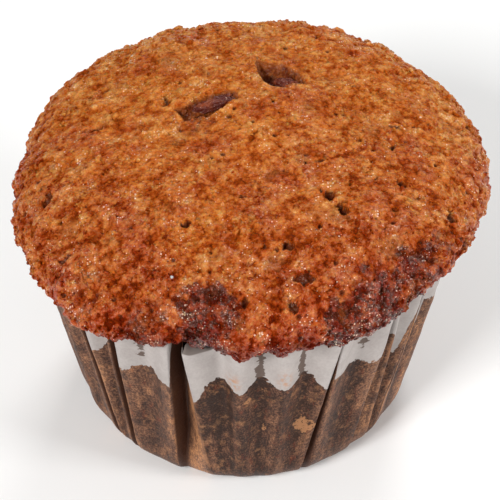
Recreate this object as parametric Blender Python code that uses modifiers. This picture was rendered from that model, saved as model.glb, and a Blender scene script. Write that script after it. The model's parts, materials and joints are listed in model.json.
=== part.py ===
"""A domed muffin in its pleated paper case, with two pieces of dark fruit showing in its crown.

Standalone Blender script: it builds four closed solids and their materials.
Lengths are in metres, +Z is up, the case stands on z = 0 and the front faces -Y.
An azimuth is an angle round the case, zero at the front and growing to the right, seen from the front.
Both the cake and the case are lofts over one list of columns, so the cake's body fits inside every
flute and pleat of the paper.
"""

import math
from typing import NamedTuple

import bmesh
import bpy
import numpy as np
from mathutils import Matrix, Vector

MM = 0.001
OBJECT_NAME = "muffin"

# Paper case.
CASE_HEIGHT = 41.4 * MM
CASE_CENTRE_X = -1.5 * MM
WALL_FOOT_RADIUS = 28.4 * MM
WALL_FLARE = 0.17
HEEL_HEIGHT = 6.0 * MM
HEEL_TUCK = 3.2 * MM
PAPER_THICKNESS = 0.25 * MM
FLUTE_DEPTH = 1.3 * MM
FLUTE_GROWTH = 0.8
PLEAT_FADE = 0.3
PLEAT_GROWTH = 0.8
COLUMNS_PER_FLUTE = 4
HEEL_ANGLES = (0.0, 35.0, 62.0)
WALL_LEVELS = (0.0, 0.25, 1.0)

# Crown of the cake.
CROWN_RADIUS = 40.0 * MM
EQUATOR_HEIGHT = 45.1 * MM
DOME_RISE = 12.3 * MM
CROWN_TILT = 1.1 * MM
DOME_RINGS = 13
LIP_RINGS = 3
HUMP_HEIGHT = 0.35 * MM
HUMP_PITCH_X = 6.1 * MM
HUMP_PITCH_Y = 7.3 * MM
HUMP_PITCH_ALONG = 9.4 * MM
HUMP_PITCH_ACROSS = 8.2 * MM

# Room between solids that touch in the real thing.
TOUCH_GAP = 0.3 * MM


class Panel(NamedTuple):
    """A stretch of fluted wall and the deep pleat after it.

    Azimuths are in degrees, at the rim and at the floor. A lean says where in its gap the pleat's
    deepest line lies, from 0 at this panel's edge to 1 at the next panel's.
    """

    rim_start: float
    rim_end: float
    floor_start: float
    floor_end: float
    flutes: int
    pleat_depth: float
    rim_lean: float
    floor_lean: float


class Column(NamedTuple):
    """One line up the wall: its azimuths in degrees, its place on the flute wave and its pleat depth."""

    rim_azimuth: float
    floor_azimuth: float
    wave: float
    sink: float


class Harmonic(NamedTuple):
    """One term of an uneven outline: how many waves go round, and the two amplitudes."""

    waves: int
    cosine: float
    sine: float


class Crater(NamedTuple):
    """A hollow in the crown that shows a piece of fruit."""

    side: str
    x: float
    y: float
    half_length: float
    half_width: float
    half_depth: float
    turn: float


FRONT_PANELS = (
    Panel(-76.0, -50.0, -75.0, -49.0, 2, 1.6 * MM, 0.5, 0.5),
    Panel(-48.4, -39.2, -47.4, -41.8, 1, 1.8 * MM, 0.5, 0.5),
    Panel(-37.2, -19.6, -40.2, -23.4, 1, 4.2 * MM, 0.4, 0.15),
    Panel(-16.4, 26.0, -12.2, 19.4, 3, 2.8 * MM, 0.1, 0.1),
    Panel(27.6, 42.9, 22.8, 38.6, 1, 1.9 * MM, 0.5, 0.95),
    Panel(44.5, 55.0, 47.0, 49.5, 1, 1.2 * MM, 0.5, 0.5),
    Panel(56.5, 81.8, 50.0, 80.6, 2, 2.4 * MM, 0.4, 0.4),
)
BACK_START = 85.0
BACK_END = 280.8
BACK_PANELS = 7
BACK_FLUTES = 2
BACK_PLEAT_WIDTH = 3.2
BACK_PLEAT_DEPTH = 2.6 * MM
BACK_PLEAT_LEAN = 0.4
BACK_LEAN_SWING = 1.4
BACK_LEAN_PITCH = 2.4
BACK_DEPTH_SWING = 0.35
BACK_DEPTH_PITCH = 1.9

OUTLINE_HARMONICS = (
    Harmonic(2, 0.9 * MM, 0.3 * MM),
    Harmonic(3, 0.4 * MM, 0.2 * MM),
    Harmonic(4, -0.6 * MM, 0.3 * MM),
)
HEIGHT_HARMONICS = (
    Harmonic(2, -0.8 * MM, -0.6 * MM),
    Harmonic(3, -0.6 * MM, -0.3 * MM),
)
CRATERS = (
    Crater("left", -8.2 * MM, 7.6 * MM, 4.6 * MM, 2.4 * MM, 2.7 * MM, 16.0),
    Crater("right", 4.4 * MM, 15.8 * MM, 5.0 * MM, 2.7 * MM, 2.9 * MM, -38.0),
)
CRATER_SINK = 0.6 * MM
HOLLOW_SEGMENTS = 20
FRUIT_SEGMENTS = 16
ELLIPSOID_RINGS = 10
FRUIT_SHOULDER = 0.35
FRUIT_TOP_SQUASH = 0.25


def clear_scene():
    """Remove every object that the scene starts with."""
    for item in list(bpy.data.objects):
        bpy.data.objects.remove(item, do_unlink=True)


def make_collection(name):
    """Add a collection to the scene."""
    collection = bpy.data.collections.new(name)
    bpy.context.scene.collection.children.link(collection)
    return collection


def make_material(name, colour, roughness):
    """A plain Principled material."""
    material = bpy.data.materials.new(name)
    material.use_nodes = True
    shader = material.node_tree.nodes["Principled BSDF"]
    shader.inputs["Base Color"].default_value = (*colour, 1.0)
    shader.inputs["Roughness"].default_value = roughness
    shader.inputs["Metallic"].default_value = 0.0
    material.diffuse_color = (*colour, 1.0)
    return material


def back_panels():
    """The panels round the sides and back: equal shares of the arc, leaning by turns left and right."""
    share = (BACK_END - BACK_START + BACK_PLEAT_WIDTH) / BACK_PANELS
    panels = []
    for index in range(BACK_PANELS):
        start = BACK_START + index * share
        end = start + share - BACK_PLEAT_WIDTH
        lean = BACK_LEAN_SWING * math.sin(BACK_LEAN_PITCH * index)
        depth = BACK_PLEAT_DEPTH * (1.0 + BACK_DEPTH_SWING * math.cos(BACK_DEPTH_PITCH * index))
        floor = (start + lean, end + lean)
        panels.append(Panel(start, end, *floor, BACK_FLUTES, depth, BACK_PLEAT_LEAN, BACK_PLEAT_LEAN))
    return panels


def fold_columns():
    """Every column round the case: the waves of each panel, then the deep line of the pleat after it."""
    panels = [*FRONT_PANELS, *back_panels()]
    columns = []
    for index, panel in enumerate(panels):
        count = panel.flutes * COLUMNS_PER_FLUTE
        for step in range(count + 1):
            part = step / count
            rim = panel.rim_start + part * (panel.rim_end - panel.rim_start)
            floor = panel.floor_start + part * (panel.floor_end - panel.floor_start)
            wave = math.cos(2.0 * math.pi * panel.flutes * part)
            columns.append(Column(rim, floor, wave, 0.0))
        following = panels[(index + 1) % len(panels)]
        turn = 360.0 if index + 1 == len(panels) else 0.0
        rim_gap = following.rim_start + turn - panel.rim_end
        floor_gap = following.floor_start + turn - panel.floor_end
        rim = panel.rim_end + panel.rim_lean * rim_gap
        floor = panel.floor_end + panel.floor_lean * floor_gap
        columns.append(Column(rim, floor, 0.0, panel.pleat_depth))
    return columns


def wall_radius(height):
    """Mean outer radius of the case at a height: a straight flare, rounded in at the heel."""
    radius = WALL_FOOT_RADIUS + WALL_FLARE * height
    if height < HEEL_HEIGHT:
        left = 1.0 - height / HEEL_HEIGHT
        radius -= HEEL_TUCK * (1.0 - math.sqrt(1.0 - left * left))
    return radius


def column_radius(column, height):
    """Outer radius of the paper on one column: the mean wall, plus its flute, less its pleat."""
    share = height / CASE_HEIGHT
    flute = column.wave * FLUTE_DEPTH * share**FLUTE_GROWTH
    pleat = column.sink * min(1.0, share / PLEAT_FADE) ** PLEAT_GROWTH
    return wall_radius(height) + flute - pleat


def column_azimuth(column, height):
    """Azimuth of a column at a height, in radians. Columns lean evenly from floor to rim."""
    share = height / CASE_HEIGHT
    degrees = column.floor_azimuth + share * (column.rim_azimuth - column.floor_azimuth)
    return math.radians(degrees)


def case_ring(columns, radii, height):
    """A ring of points round the case's own axis."""
    angles = np.array([column_azimuth(column, height) for column in columns])
    radii = np.asarray(radii)
    return np.column_stack(
        (CASE_CENTRE_X + radii * np.sin(angles), -radii * np.cos(angles), np.full(len(angles), height))
    )


def case_levels():
    """Heights of the wall's rings: round the heel by equal angles, then up the straight wall."""
    heel = [HEEL_HEIGHT * (1.0 - math.cos(math.radians(angle))) for angle in HEEL_ANGLES]
    straight = CASE_HEIGHT - HEEL_HEIGHT
    return heel + [HEEL_HEIGHT + share * straight for share in WALL_LEVELS]


def paper_radii(columns, height):
    """Outer radius of the paper on every column."""
    return np.array([column_radius(column, height) for column in columns])


def body_radii(columns, height):
    """Radius of the cake inside the paper: the smallest of each column and its neighbours, less a gap."""
    outer = paper_radii(columns, height)
    nearest = np.minimum(outer, np.minimum(np.roll(outer, 1), np.roll(outer, -1)))
    return nearest - PAPER_THICKNESS - TOUCH_GAP


def rim_cover_radii(columns):
    """Radius of the cake's lip where it covers the rim: it follows the flutes and spans the pleats."""
    plain = [column._replace(sink=0.0, wave=1.0 if column.sink else column.wave) for column in columns]
    return paper_radii(plain, CASE_HEIGHT) + 0.5 * TOUCH_GAP


def sum_harmonics(harmonics, angle):
    """Sum of the terms of an uneven outline at an angle from +X."""
    return sum(term.cosine * np.cos(term.waves * angle) + term.sine * np.sin(term.waves * angle)
               for term in harmonics)


def hump(x, y):
    """Broad humps of the crust: three crossing waves."""
    first = np.sin(x / HUMP_PITCH_X + 1.3) * np.cos(y / HUMP_PITCH_Y - 0.4)
    second = np.sin((x + 1.7 * y) / HUMP_PITCH_ALONG)
    third = np.cos((1.4 * x - y) / HUMP_PITCH_ACROSS + 0.8)
    return HUMP_HEIGHT * (first + 0.6 * second + 0.5 * third)


def crown_point(angle, climb):
    """Points of the dome before centring. angle is from +X, climb from the equator (0) to the top (90 deg).

    The radius is the uneven outline times cos(climb). The height is the equator plus the rise times
    sin(climb), plus a tilt and slow waves that fade towards the middle, plus broad humps.
    """
    outline = CROWN_RADIUS + sum_harmonics(OUTLINE_HARMONICS, angle)
    reach = np.cos(climb)
    radius = outline * reach
    x = radius * np.cos(angle)
    y = radius * np.sin(angle)
    edge = CROWN_TILT * np.cos(angle) + sum_harmonics(HEIGHT_HARMONICS, angle)
    height = EQUATOR_HEIGHT + DOME_RISE * np.sin(climb) + reach * edge
    height = height + np.sin(climb) * hump(x, y)
    return np.column_stack((x, y, height))


def crown_centre():
    """Middle of the crown's outline, which becomes the origin's axis."""
    angles = np.linspace(0.0, 2.0 * math.pi, 361)
    outline = crown_point(angles, np.zeros_like(angles))
    return (outline.min(axis=0) + outline.max(axis=0))[:2] / 2.0


def crown_rings(columns):
    """Rings of the cake above the case's rim: the rounded lip, then the dome up to the last ring."""
    centre = crown_centre()
    angles = np.radians([column.rim_azimuth - 90.0 for column in columns])
    shift = np.array([centre[0], centre[1], 0.0])
    equator = crown_point(angles, np.zeros_like(angles)) - shift
    cover = case_ring(columns, rim_cover_radii(columns), CASE_HEIGHT)
    cover[:, 2] = CASE_HEIGHT + TOUCH_GAP
    rings = [cover]
    for step in range(1, LIP_RINGS):
        share = step / LIP_RINGS
        bulge = math.sin(0.5 * math.pi * share)
        ring = cover + share * (equator - cover)
        ring[:, :2] = cover[:, :2] + bulge * (equator - cover)[:, :2]
        rings.append(ring)
    rings.append(equator)
    for step in range(1, DOME_RINGS):
        climb = 0.5 * math.pi * step / DOME_RINGS
        rings.append(crown_point(angles, np.full_like(angles, climb)) - shift)
    top = crown_point(np.zeros(1), np.full(1, 0.5 * math.pi))[0] - shift
    return rings, Vector(top)


def body_rings(columns):
    """Rings of the cake inside the case, from its floor up to the underside of the lip."""
    floor = PAPER_THICKNESS + TOUCH_GAP
    rings = []
    for height in case_levels():
        ring = case_ring(columns, body_radii(columns, height), height)
        ring[:, 2] = floor + (CASE_HEIGHT + TOUCH_GAP - floor) * height / CASE_HEIGHT
        rings.append(ring)
    return rings


def loft(name, rings, bottom, top=None):
    """Join rings of equal count by quads, with a fan to a bottom point and, if given, to a top point."""
    count = len(rings[0])
    verts = [Vector(bottom)]
    for ring in rings:
        verts.extend(Vector(point) for point in ring)
    faces = [(0, 1 + (index + 1) % count, 1 + index) for index in range(count)]
    for level in range(len(rings) - 1):
        base = 1 + level * count
        for index in range(count):
            following = (index + 1) % count
            faces.append((base + index, base + following, base + count + following, base + count + index))
    if top is not None:
        apex = len(verts)
        base = apex - count
        verts.append(Vector(top))
        faces.extend((base + index, base + (index + 1) % count, apex) for index in range(count))
    mesh = bpy.data.meshes.new(name)
    mesh.from_pydata(verts, [], faces)
    mesh.validate()
    return mesh


def add_object(name, mesh, material, collection):
    """Put a mesh in the scene as a named object with one material, shaded smooth."""
    mesh.materials.append(material)
    mesh.shade_smooth()
    item = bpy.data.objects.new(name, mesh)
    collection.objects.link(item)
    return item


def make_cake(columns, material, collection):
    """The cake: a body that fills the case and a domed crown that covers its rim, as one solid."""
    lip, top = crown_rings(columns)
    body = body_rings(columns)
    bottom = (CASE_CENTRE_X, 0.0, body[0][0][2])
    mesh = loft("cake", [*body, *lip], bottom, top)
    return add_object("cake", mesh, material, collection)


def make_paper_case(columns, material, collection):
    """The case: one folded sheet, open at the rim, given its thickness on the inside."""
    rings = [case_ring(columns, paper_radii(columns, height), height) for height in case_levels()]
    mesh = loft("paper_case", rings, (CASE_CENTRE_X, 0.0, 0.0))
    case = add_object("paper_case", mesh, material, collection)
    wall = case.modifiers.new("paper", "SOLIDIFY")
    wall.thickness = PAPER_THICKNESS
    wall.offset = -1.0
    return case


def crater_frame(crater):
    """Matrix that places a crater's middle just under the crust, turned to its long direction."""
    centre = crown_centre()
    x = crater.x + centre[0]
    y = crater.y + centre[1]
    climb = math.acos(min(1.0, math.hypot(x, y) / CROWN_RADIUS))
    surface = crown_point(np.array([math.atan2(y, x)]), np.array([climb]))[0][2]
    place = Vector((crater.x, crater.y, surface - CRATER_SINK))
    return Matrix.Translation(place) @ Matrix.Rotation(math.radians(crater.turn), 4, "Z")


def ellipsoid(name, half_sizes, segments):
    """A sphere stretched to three half sizes."""
    mesh = bpy.data.meshes.new(name)
    shape = bmesh.new()
    bmesh.ops.create_uvsphere(shape, u_segments=segments, v_segments=ELLIPSOID_RINGS, radius=1.0)
    bmesh.ops.scale(shape, vec=Vector(half_sizes), verts=shape.verts)
    shape.to_mesh(mesh)
    shape.free()
    return mesh


def cut_crater(cake, crater, collection):
    """Cut a crater's rounded hollow out of the crown."""
    sizes = (crater.half_length, crater.half_width, crater.half_depth)
    name = f"hollow_{crater.side}"
    cutter = bpy.data.objects.new(name, ellipsoid(name, sizes, HOLLOW_SEGMENTS))
    cutter.matrix_world = crater_frame(crater)
    cutter.hide_render = True
    cutter.display_type = "WIRE"
    collection.objects.link(cutter)
    cut = cake.modifiers.new(f"crater_{crater.side}", "BOOLEAN")
    cut.operation = "DIFFERENCE"
    cut.object = cutter
    return cutter


def make_fruit(crater, material, collection):
    """A piece of fruit that lies in a crater, a gap smaller than the hollow and flattened on top."""
    sizes = [size - TOUCH_GAP for size in (crater.half_length, crater.half_width, crater.half_depth)]
    name = f"fruit_piece_{crater.side}"
    mesh = ellipsoid(name, sizes, FRUIT_SEGMENTS)
    shoulder = -FRUIT_SHOULDER * sizes[2]
    for vertex in mesh.vertices:
        if vertex.co.z > shoulder:
            vertex.co.z = shoulder + FRUIT_TOP_SQUASH * (vertex.co.z - shoulder)
    fruit = add_object(name, mesh, material, collection)
    fruit.matrix_world = crater_frame(crater)
    return fruit


def main():
    """Build the muffin, its case and the fruit in its craters."""
    clear_scene()
    parts = make_collection(OBJECT_NAME)
    cutters = make_collection("cutters")
    crust = make_material("crust", (0.42, 0.135, 0.04), 0.5)
    paper = make_material("paper", (0.2, 0.13, 0.085), 0.6)
    columns = fold_columns()
    cake = make_cake(columns, crust, parts)
    make_paper_case(columns, paper, parts)
    for crater in CRATERS:
        flesh = make_material(f"fruit_{crater.side}", (0.09, 0.012, 0.008), 0.2)
        cut_crater(cake, crater, cutters)
        make_fruit(crater, flesh, parts)


main()
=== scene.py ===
"""The looks of a muffin in a pleated paper case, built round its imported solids.

The crust, the crumbs, the fruit and the paper are surfaces worked out as whole numpy arrays. Shapes
are worked out in millimetres and turned into metres once, when a mesh is made. An azimuth is an angle
round the case in degrees, zero at the front (-Y) and growing to the right, seen from the front.
"""

from __future__ import annotations

import json
import logging
import math
from dataclasses import dataclass, field
from enum import Enum

import bmesh
import bpy
import numpy as np
from mathutils import Matrix, Vector


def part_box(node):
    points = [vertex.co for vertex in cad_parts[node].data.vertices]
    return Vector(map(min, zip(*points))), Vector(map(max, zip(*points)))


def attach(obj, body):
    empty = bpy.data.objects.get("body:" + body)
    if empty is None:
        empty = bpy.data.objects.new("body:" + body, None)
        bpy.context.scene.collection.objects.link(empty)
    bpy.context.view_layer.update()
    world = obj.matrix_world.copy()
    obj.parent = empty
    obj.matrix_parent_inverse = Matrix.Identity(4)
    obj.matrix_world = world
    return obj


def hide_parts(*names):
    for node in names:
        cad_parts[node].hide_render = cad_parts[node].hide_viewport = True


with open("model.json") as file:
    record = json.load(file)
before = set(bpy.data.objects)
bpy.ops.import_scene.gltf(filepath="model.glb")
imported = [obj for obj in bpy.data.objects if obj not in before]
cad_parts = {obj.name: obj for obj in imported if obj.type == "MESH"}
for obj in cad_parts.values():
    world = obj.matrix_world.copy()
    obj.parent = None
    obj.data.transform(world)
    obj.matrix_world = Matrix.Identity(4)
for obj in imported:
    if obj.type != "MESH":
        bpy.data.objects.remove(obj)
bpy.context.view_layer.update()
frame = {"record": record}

LOG = logging.getLogger("muffin")
MM = 0.001
ROOT = "root"
TURN = 2.0 * math.pi

Arrays = dict[str, np.ndarray]
Spot = tuple[float, float, float]
Waves = tuple[tuple[int, float, float], ...]
Ovals = tuple[tuple[float, float, float, float], ...]


class Slot(Enum):
    """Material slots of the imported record."""

    CRUST = "crust"
    PAPER = "paper"
    FRUIT = "fruit"


def srgb(red: float, green: float, blue: float) -> tuple[float, float, float, float]:
    """Turn a display colour into the linear colour that shaders use.

    Args:
        red: Red from 0 to 255.
        green: Green from 0 to 255.
        blue: Blue from 0 to 255.

    Returns:
        Linear red, green, blue and an alpha of 1.
    """
    shares = [value / 255.0 for value in (red, green, blue)]
    linear = [s / 12.92 if s <= 0.04045 else ((s + 0.055) / 1.055) ** 2.4 for s in shares]
    return (*linear, 1.0)


def smooth_step(low: float, high: float, value: np.ndarray) -> np.ndarray:
    """Rise smoothly from 0 at low to 1 at high: 3t^2 - 2t^3 of the clipped share t.

    Args:
        low: Where the result is 0, which may lie above high.
        high: Where the result is 1.
        value: Numbers to map.

    Returns:
        Numbers from 0 to 1, of the same shape.
    """
    share = np.clip((value - low) / (high - low), 0.0, 1.0)
    return share * share * (3.0 - 2.0 * share)


def hash_cells(cells: np.ndarray, seed: int) -> np.ndarray:
    """Give every whole-numbered cell of space its own random number from 0 to 1.

    The three indices and the seed are multiplied by large odd numbers and added, and the sum is
    scrambled by two rounds of shifting and multiplying in 32 bits.

    Args:
        cells: Whole numbers, shape (..., 3).
        seed: Picks one of many independent patterns.

    Returns:
        Numbers from 0 to 1, shape (...).
    """
    mask = 0xFFFFFFFF
    factors = np.array([73856093, 19349663, 83492791], dtype=np.int64)
    key = (cells.astype(np.int64) @ factors + seed * 2654435761) & mask
    for factor in (1274126177, 2246822519):
        key = ((key ^ (key >> 15)) * factor) & mask
    return (key ^ (key >> 13)) / float(mask)


def soft_noise(points: np.ndarray, size: float, seed: int) -> np.ndarray:
    """Smooth noise from -1 to 1 whose blobs are about as wide as size.

    Space is cut into cubes of that size, each corner has a random value, and a point blends the eight
    corners round it by a smooth step along each axis.

    Args:
        points: Places in mm, shape (n, 3).
        size: Width of a cube in mm.
        seed: Picks the pattern.

    Returns:
        Noise at each point, shape (n,).
    """
    scaled = points / size
    base = np.floor(scaled)
    part = scaled - base
    part = part * part * (3.0 - 2.0 * part)
    total = np.zeros(len(points))
    for corner in np.ndindex(2, 2, 2):
        weight = np.prod(np.where(np.array(corner) == 1, part, 1.0 - part), axis=1)
        total += weight * hash_cells(base + np.array(corner), seed)
    return 2.0 * total - 1.0


def layered_noise(points: np.ndarray, size: float, layers: int, seed: int) -> np.ndarray:
    """Sum of soft noises, each half as wide and half as strong as the one before.

    Args:
        points: Places in mm, shape (n, 3).
        size: Width of the broadest blobs in mm.
        layers: How many noises are added.
        seed: Picks the pattern.

    Returns:
        Noise at each point, shape (n,).
    """
    total = np.zeros(len(points))
    for layer in range(layers):
        total += 0.5**layer * soft_noise(points, size * 0.5**layer, seed + layer)
    return total


def cell_noise(points: np.ndarray, size: float, seed: int) -> tuple[np.ndarray, np.ndarray]:
    """Distance to the nearest of many scattered seeds, one in each cube of space.

    Args:
        points: Places in mm, shape (n, 3).
        size: Width of a cube in mm.
        seed: Picks the pattern.

    Returns:
        Distance in cube widths, and the nearest seed's own random number from 0 to 1.
    """
    scaled = points / size
    base = np.floor(scaled)
    nearest = np.full(len(points), 9.0)
    tone = np.zeros(len(points))
    for offset in np.ndindex(3, 3, 3):
        cell = base + np.array(offset) - 1.0
        jitter = np.stack([hash_cells(cell, seed + shift) for shift in (11, 23, 37)], axis=1)
        distance = np.linalg.norm(cell + jitter - scaled, axis=1)
        closer = distance < nearest
        nearest = np.where(closer, distance, nearest)
        tone = np.where(closer, hash_cells(cell, seed + 51), tone)
    return nearest, tone


def unit(vectors: np.ndarray) -> np.ndarray:
    """Scale every row to length 1."""
    return vectors / np.maximum(np.linalg.norm(vectors, axis=-1, keepdims=True), 1e-12)


def round_axis(middle_x: float, radius: np.ndarray, azimuth: np.ndarray, height: np.ndarray) -> np.ndarray:
    """Turn a radius, an azimuth in radians and a height round an upright axis into points.

    Args:
        middle_x: X of the axis in mm.
        radius: Distances from the axis in mm.
        azimuth: Azimuths in radians, of the same shape.
        height: Heights in mm, of the same shape.

    Returns:
        Points in mm, with X, Y and Z along a new last axis.
    """
    return np.stack((middle_x + radius * np.sin(azimuth), -radius * np.cos(azimuth), height), axis=-1)


def closed_rows(rows: int, columns: int) -> np.ndarray:
    """Triangles between neighbouring rows of points, and a fan to a single point at each end.

    The rows wrap round. Points are numbered row by row, then come the first row's single point and
    the last row's.

    Args:
        rows: How many rows there are.
        columns: How many points each row has.

    Returns:
        Point numbers, shape (triangles, 3).
    """
    across = np.arange(columns)
    after = np.roll(across, -1)
    starts = columns * np.arange(rows - 1)[:, None]
    low = (starts + across).ravel()
    low_after = (starts + after).ravel()
    first = np.stack((low, low_after, low_after + columns), axis=1)
    second = np.stack((low, low_after + columns, low + columns), axis=1)
    bottom = np.stack((after, across, np.full(columns, rows * columns)), axis=1)
    last = (rows - 1) * columns
    top = np.stack((last + across, last + after, np.full(columns, rows * columns + 1)), axis=1)
    return np.concatenate((first, second, bottom, top))


@dataclass
class Piece:
    """A new piece of the scene: its points in mm, its faces and its named values for each point."""

    name: str
    points: np.ndarray
    faces: np.ndarray
    values: Arrays = field(default_factory=dict)

    def build(
        self, material: bpy.types.Material, slot: Slot, replaces: tuple[str, ...] = ()
    ) -> bpy.types.Object:
        """Make the mesh object, dress it and hang it on the root body.

        Args:
            material: Finish of the whole piece.
            slot: Slot of the record that the finish stands for; not used.
            replaces: Solids that this piece stands for.

        Returns:
            The new object, at the origin, unturned and unscaled.
        """
        mesh = bpy.data.meshes.new(self.name)
        corners = self.faces.shape[1]
        mesh.vertices.add(len(self.points))
        mesh.vertices.foreach_set("co", (self.points * MM).astype(np.float32).ravel())
        mesh.loops.add(self.faces.size)
        mesh.loops.foreach_set("vertex_index", self.faces.astype(np.int32).ravel())
        mesh.polygons.add(len(self.faces))
        mesh.polygons.foreach_set("loop_start", np.arange(0, self.faces.size, corners, dtype=np.int32))
        mesh.update(calc_edges=True)
        mesh.validate()
        for name, numbers in self.values.items():
            kind, key = ("FLOAT", "value") if numbers.ndim == 1 else ("FLOAT_VECTOR", "vector")
            layer = mesh.attributes.new(name, kind, "POINT")
            layer.data.foreach_set(key, numbers.astype(np.float32).ravel())
        mesh.shade_smooth()
        mesh.materials.append(material)
        item = bpy.data.objects.new(self.name, mesh)
        bpy.context.scene.collection.objects.link(item)
        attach(item, ROOT)
        if replaces:
            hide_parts(*replaces)
        triangles = sum(len(polygon.vertices) - 2 for polygon in mesh.polygons)
        LOG.info("%s: %d points, %d triangles", self.name, len(mesh.vertices), triangles)
        return item


# ---------------------------------------------------------------------------------------------
# The forms that the pieces share
# ---------------------------------------------------------------------------------------------


@dataclass(frozen=True)
class Panel:
    """A stretch of fluted wall and the deep pleat after it.

    Azimuths are at the rim and at the floor. A lean says where in its gap the pleat's deepest line
    lies. The dry numbers are the heights in mm where the white paper ends: at the panel's two edges,
    at its flutes' crests and in its valleys. Fat is how soaked the panel is, and lit is the height up
    to which light reaches the pleat's far side. The fields after lit are, in order: the strength of a
    painted tan highlight along the panel's first edge; how dark the painted shade on the wall gets
    towards its last edge; blend, how many degrees from its edges the white paper's end takes to
    settle to its flutes; skew, the share of its width that its first valley is pushed towards its
    last edge; and how much lighter the pleat's far side is painted than the next panel, given as
    less fat.
    """

    rim_start: float
    rim_end: float
    floor_start: float
    floor_end: float
    flutes: int
    pleat_depth: float
    rim_lean: float
    floor_lean: float
    dry_start: float = 30.0
    dry_end: float = 30.0
    dry_crest: float = 31.0
    dry_valley: float = 35.0
    fat: float = 0.2
    lit: float = 0.0
    crease_highlight: float = 0.7
    edge_shade: float = 0.0
    blend: float = 5.0
    skew: float = 0.0
    flank_light: float = 0.0


@dataclass(frozen=True)
class CaseForm:
    """The paper case's wall: a flared cup with flutes, and a deep pleat between its panels.

    Each front panel gives its rim azimuths, its floor azimuths, its flutes, the depth and the two
    leans of its pleat, its dry heights, and then what is special to it.
    """

    centre_x: float
    height: float
    foot_radius: float = 28.4
    flare: float = 0.17
    heel_height: float = 6.0
    heel_tuck: float = 3.2
    flute_depth: float = 1.3
    flute_growth: float = 0.8
    pleat_fade: float = 0.3
    pleat_growth: float = 0.8
    valley_place: float = 0.2
    valley_reach: float = 0.11
    crease_reach: float = 0.45
    dim_reach: float = 2.4
    dry_bend: float = 1.1
    steps_per_degree: float = 2.2
    least_steps: int = 8
    pleat_steps: int = 6
    front_panels: tuple[Panel, ...] = (
        Panel(-76.0, -50.4, -75.0, -49.6, 2, 1.0, 0.3, 0.3, 36.0, 39.5, 40.0, 42.0,
              lit=36.0, crease_highlight=1.0, edge_shade=0.5),
        Panel(-48.0, -38.4, -47.2, -41.8, 1, 1.2, 0.3, 0.3, 29.2, 36.5, 31.5, 31.8,
              lit=38.0, crease_highlight=1.0, edge_shade=0.4),
        Panel(-35.9, -19.6, -39.4, -23.4, 1, 4.2, 0.4, 0.15, 29.6, 30.4, 30.6, 31.4,
              lit=33.0, crease_highlight=1.0, flank_light=1.5),
        Panel(-15.7, 26.0, -11.2, 19.4, 3, 2.8, 0.1, 0.1, 27.2, 28.4, 31.1, 33.0,
              fat=0.95, skew=0.05),
        Panel(26.7, 42.9, 22.8, 38.6, 1, 1.9, 0.1, 0.08, 31.6, 30.0, 30.4, 30.6,
              fat=0.6, lit=60.0, crease_highlight=0.0),
        Panel(44.5, 55.0, 47.0, 49.5, 1, 0.8, 0.2, 0.2, 35.0, 36.0, 26.0, 26.0,
              crease_highlight=0.6, blend=3.0),
        Panel(56.5, 81.8, 50.0, 80.6, 2, 2.4, 0.4, 0.4, 33.0, 31.0, 32.0, 32.6),
    )
    back_start: float = 85.0
    back_end: float = 280.8
    back_panels: int = 7
    back_pleat_width: float = 3.2
    back_pleat_depth: float = 2.6
    back_lean_swing: float = 1.4
    back_valley: float = 35.6

    def panels(self) -> list[Panel]:
        """List every panel: those of the front, then equal shares of the arc round the sides and back.

        The pleats' leans and depths and the white paper's end swing from panel to panel like sines
        and cosines of the panel's number.

        Returns:
            The panels in order of azimuth.
        """
        share = (self.back_end - self.back_start + self.back_pleat_width) / self.back_panels
        panels = list(self.front_panels)
        for index in range(self.back_panels):
            start = self.back_start + index * share
            end = start + share - self.back_pleat_width
            lean = self.back_lean_swing * math.sin(2.4 * index)
            depth = self.back_pleat_depth * (1.0 + 0.35 * math.cos(1.9 * index))
            edges = (28.6 + 1.6 * math.sin(1.7 * index), 28.8 + 1.8 * math.cos(2.9 * index))
            crest = 30.6 + 1.2 * math.sin(3.1 * index)
            ends = (start, end, start + lean, end + lean)
            panels.append(Panel(*ends, 2, depth, 0.4, 0.4, *edges, crest, self.back_valley))
        return panels

    def columns(self) -> Arrays:
        """Work out every line up the wall.

        On a panel the wave is the cosine of its flutes, 1 on a crest and -1 in a valley. In a pleat
        the sink runs straight down to the pleat's depth and straight back up.

        Returns:
            For each column: rim and floor azimuth, wave, sink in mm, crease (strength of the painted tan
            highlight on a panel's first edge), fold (1 in a pleat's deepest line), dry (height where the
            white paper ends), fat (how soaked the paper is, and less on a pleat's far side that is painted
            lighter), lit (height up to which light reaches the pleat's far side) and the last column (how
            dark the painted shade on the wall is beside a pleat).
        """
        panels = self.panels()
        rows: list[np.ndarray] = []
        for index, panel in enumerate(panels):
            width = panel.rim_end - panel.rim_start
            count = max(self.least_steps, round(width * self.steps_per_degree))
            part = np.linspace(0.0, 1.0, count + 1)
            rim = panel.rim_start + part * width
            floor = panel.floor_start + part * (panel.floor_end - panel.floor_start)
            pushed = part - panel.skew * np.exp(-(((part - self.valley_place) / self.valley_reach) ** 2))
            wave = np.cos(TURN * panel.flutes * pushed)
            # A panel's first edge gets a painted tan highlight along its crease.
            edge = panel.crease_highlight * np.exp(-((part * (rim[-1] - rim[0]) / self.crease_reach) ** 2))
            valley = (0.5 - 0.5 * wave) ** self.dry_bend
            dry = panel.dry_crest + (panel.dry_valley - panel.dry_crest) * valley
            reach = panel.blend / width
            near_start = smooth_step(reach, 0.0, part)
            near_end = smooth_step(1.0 - reach, 1.0, part)
            dry = dry + (panel.dry_start - dry) * near_start + (panel.dry_end - dry) * near_end
            zero = np.zeros_like(part)
            fat = np.full_like(part, panel.fat)
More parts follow.
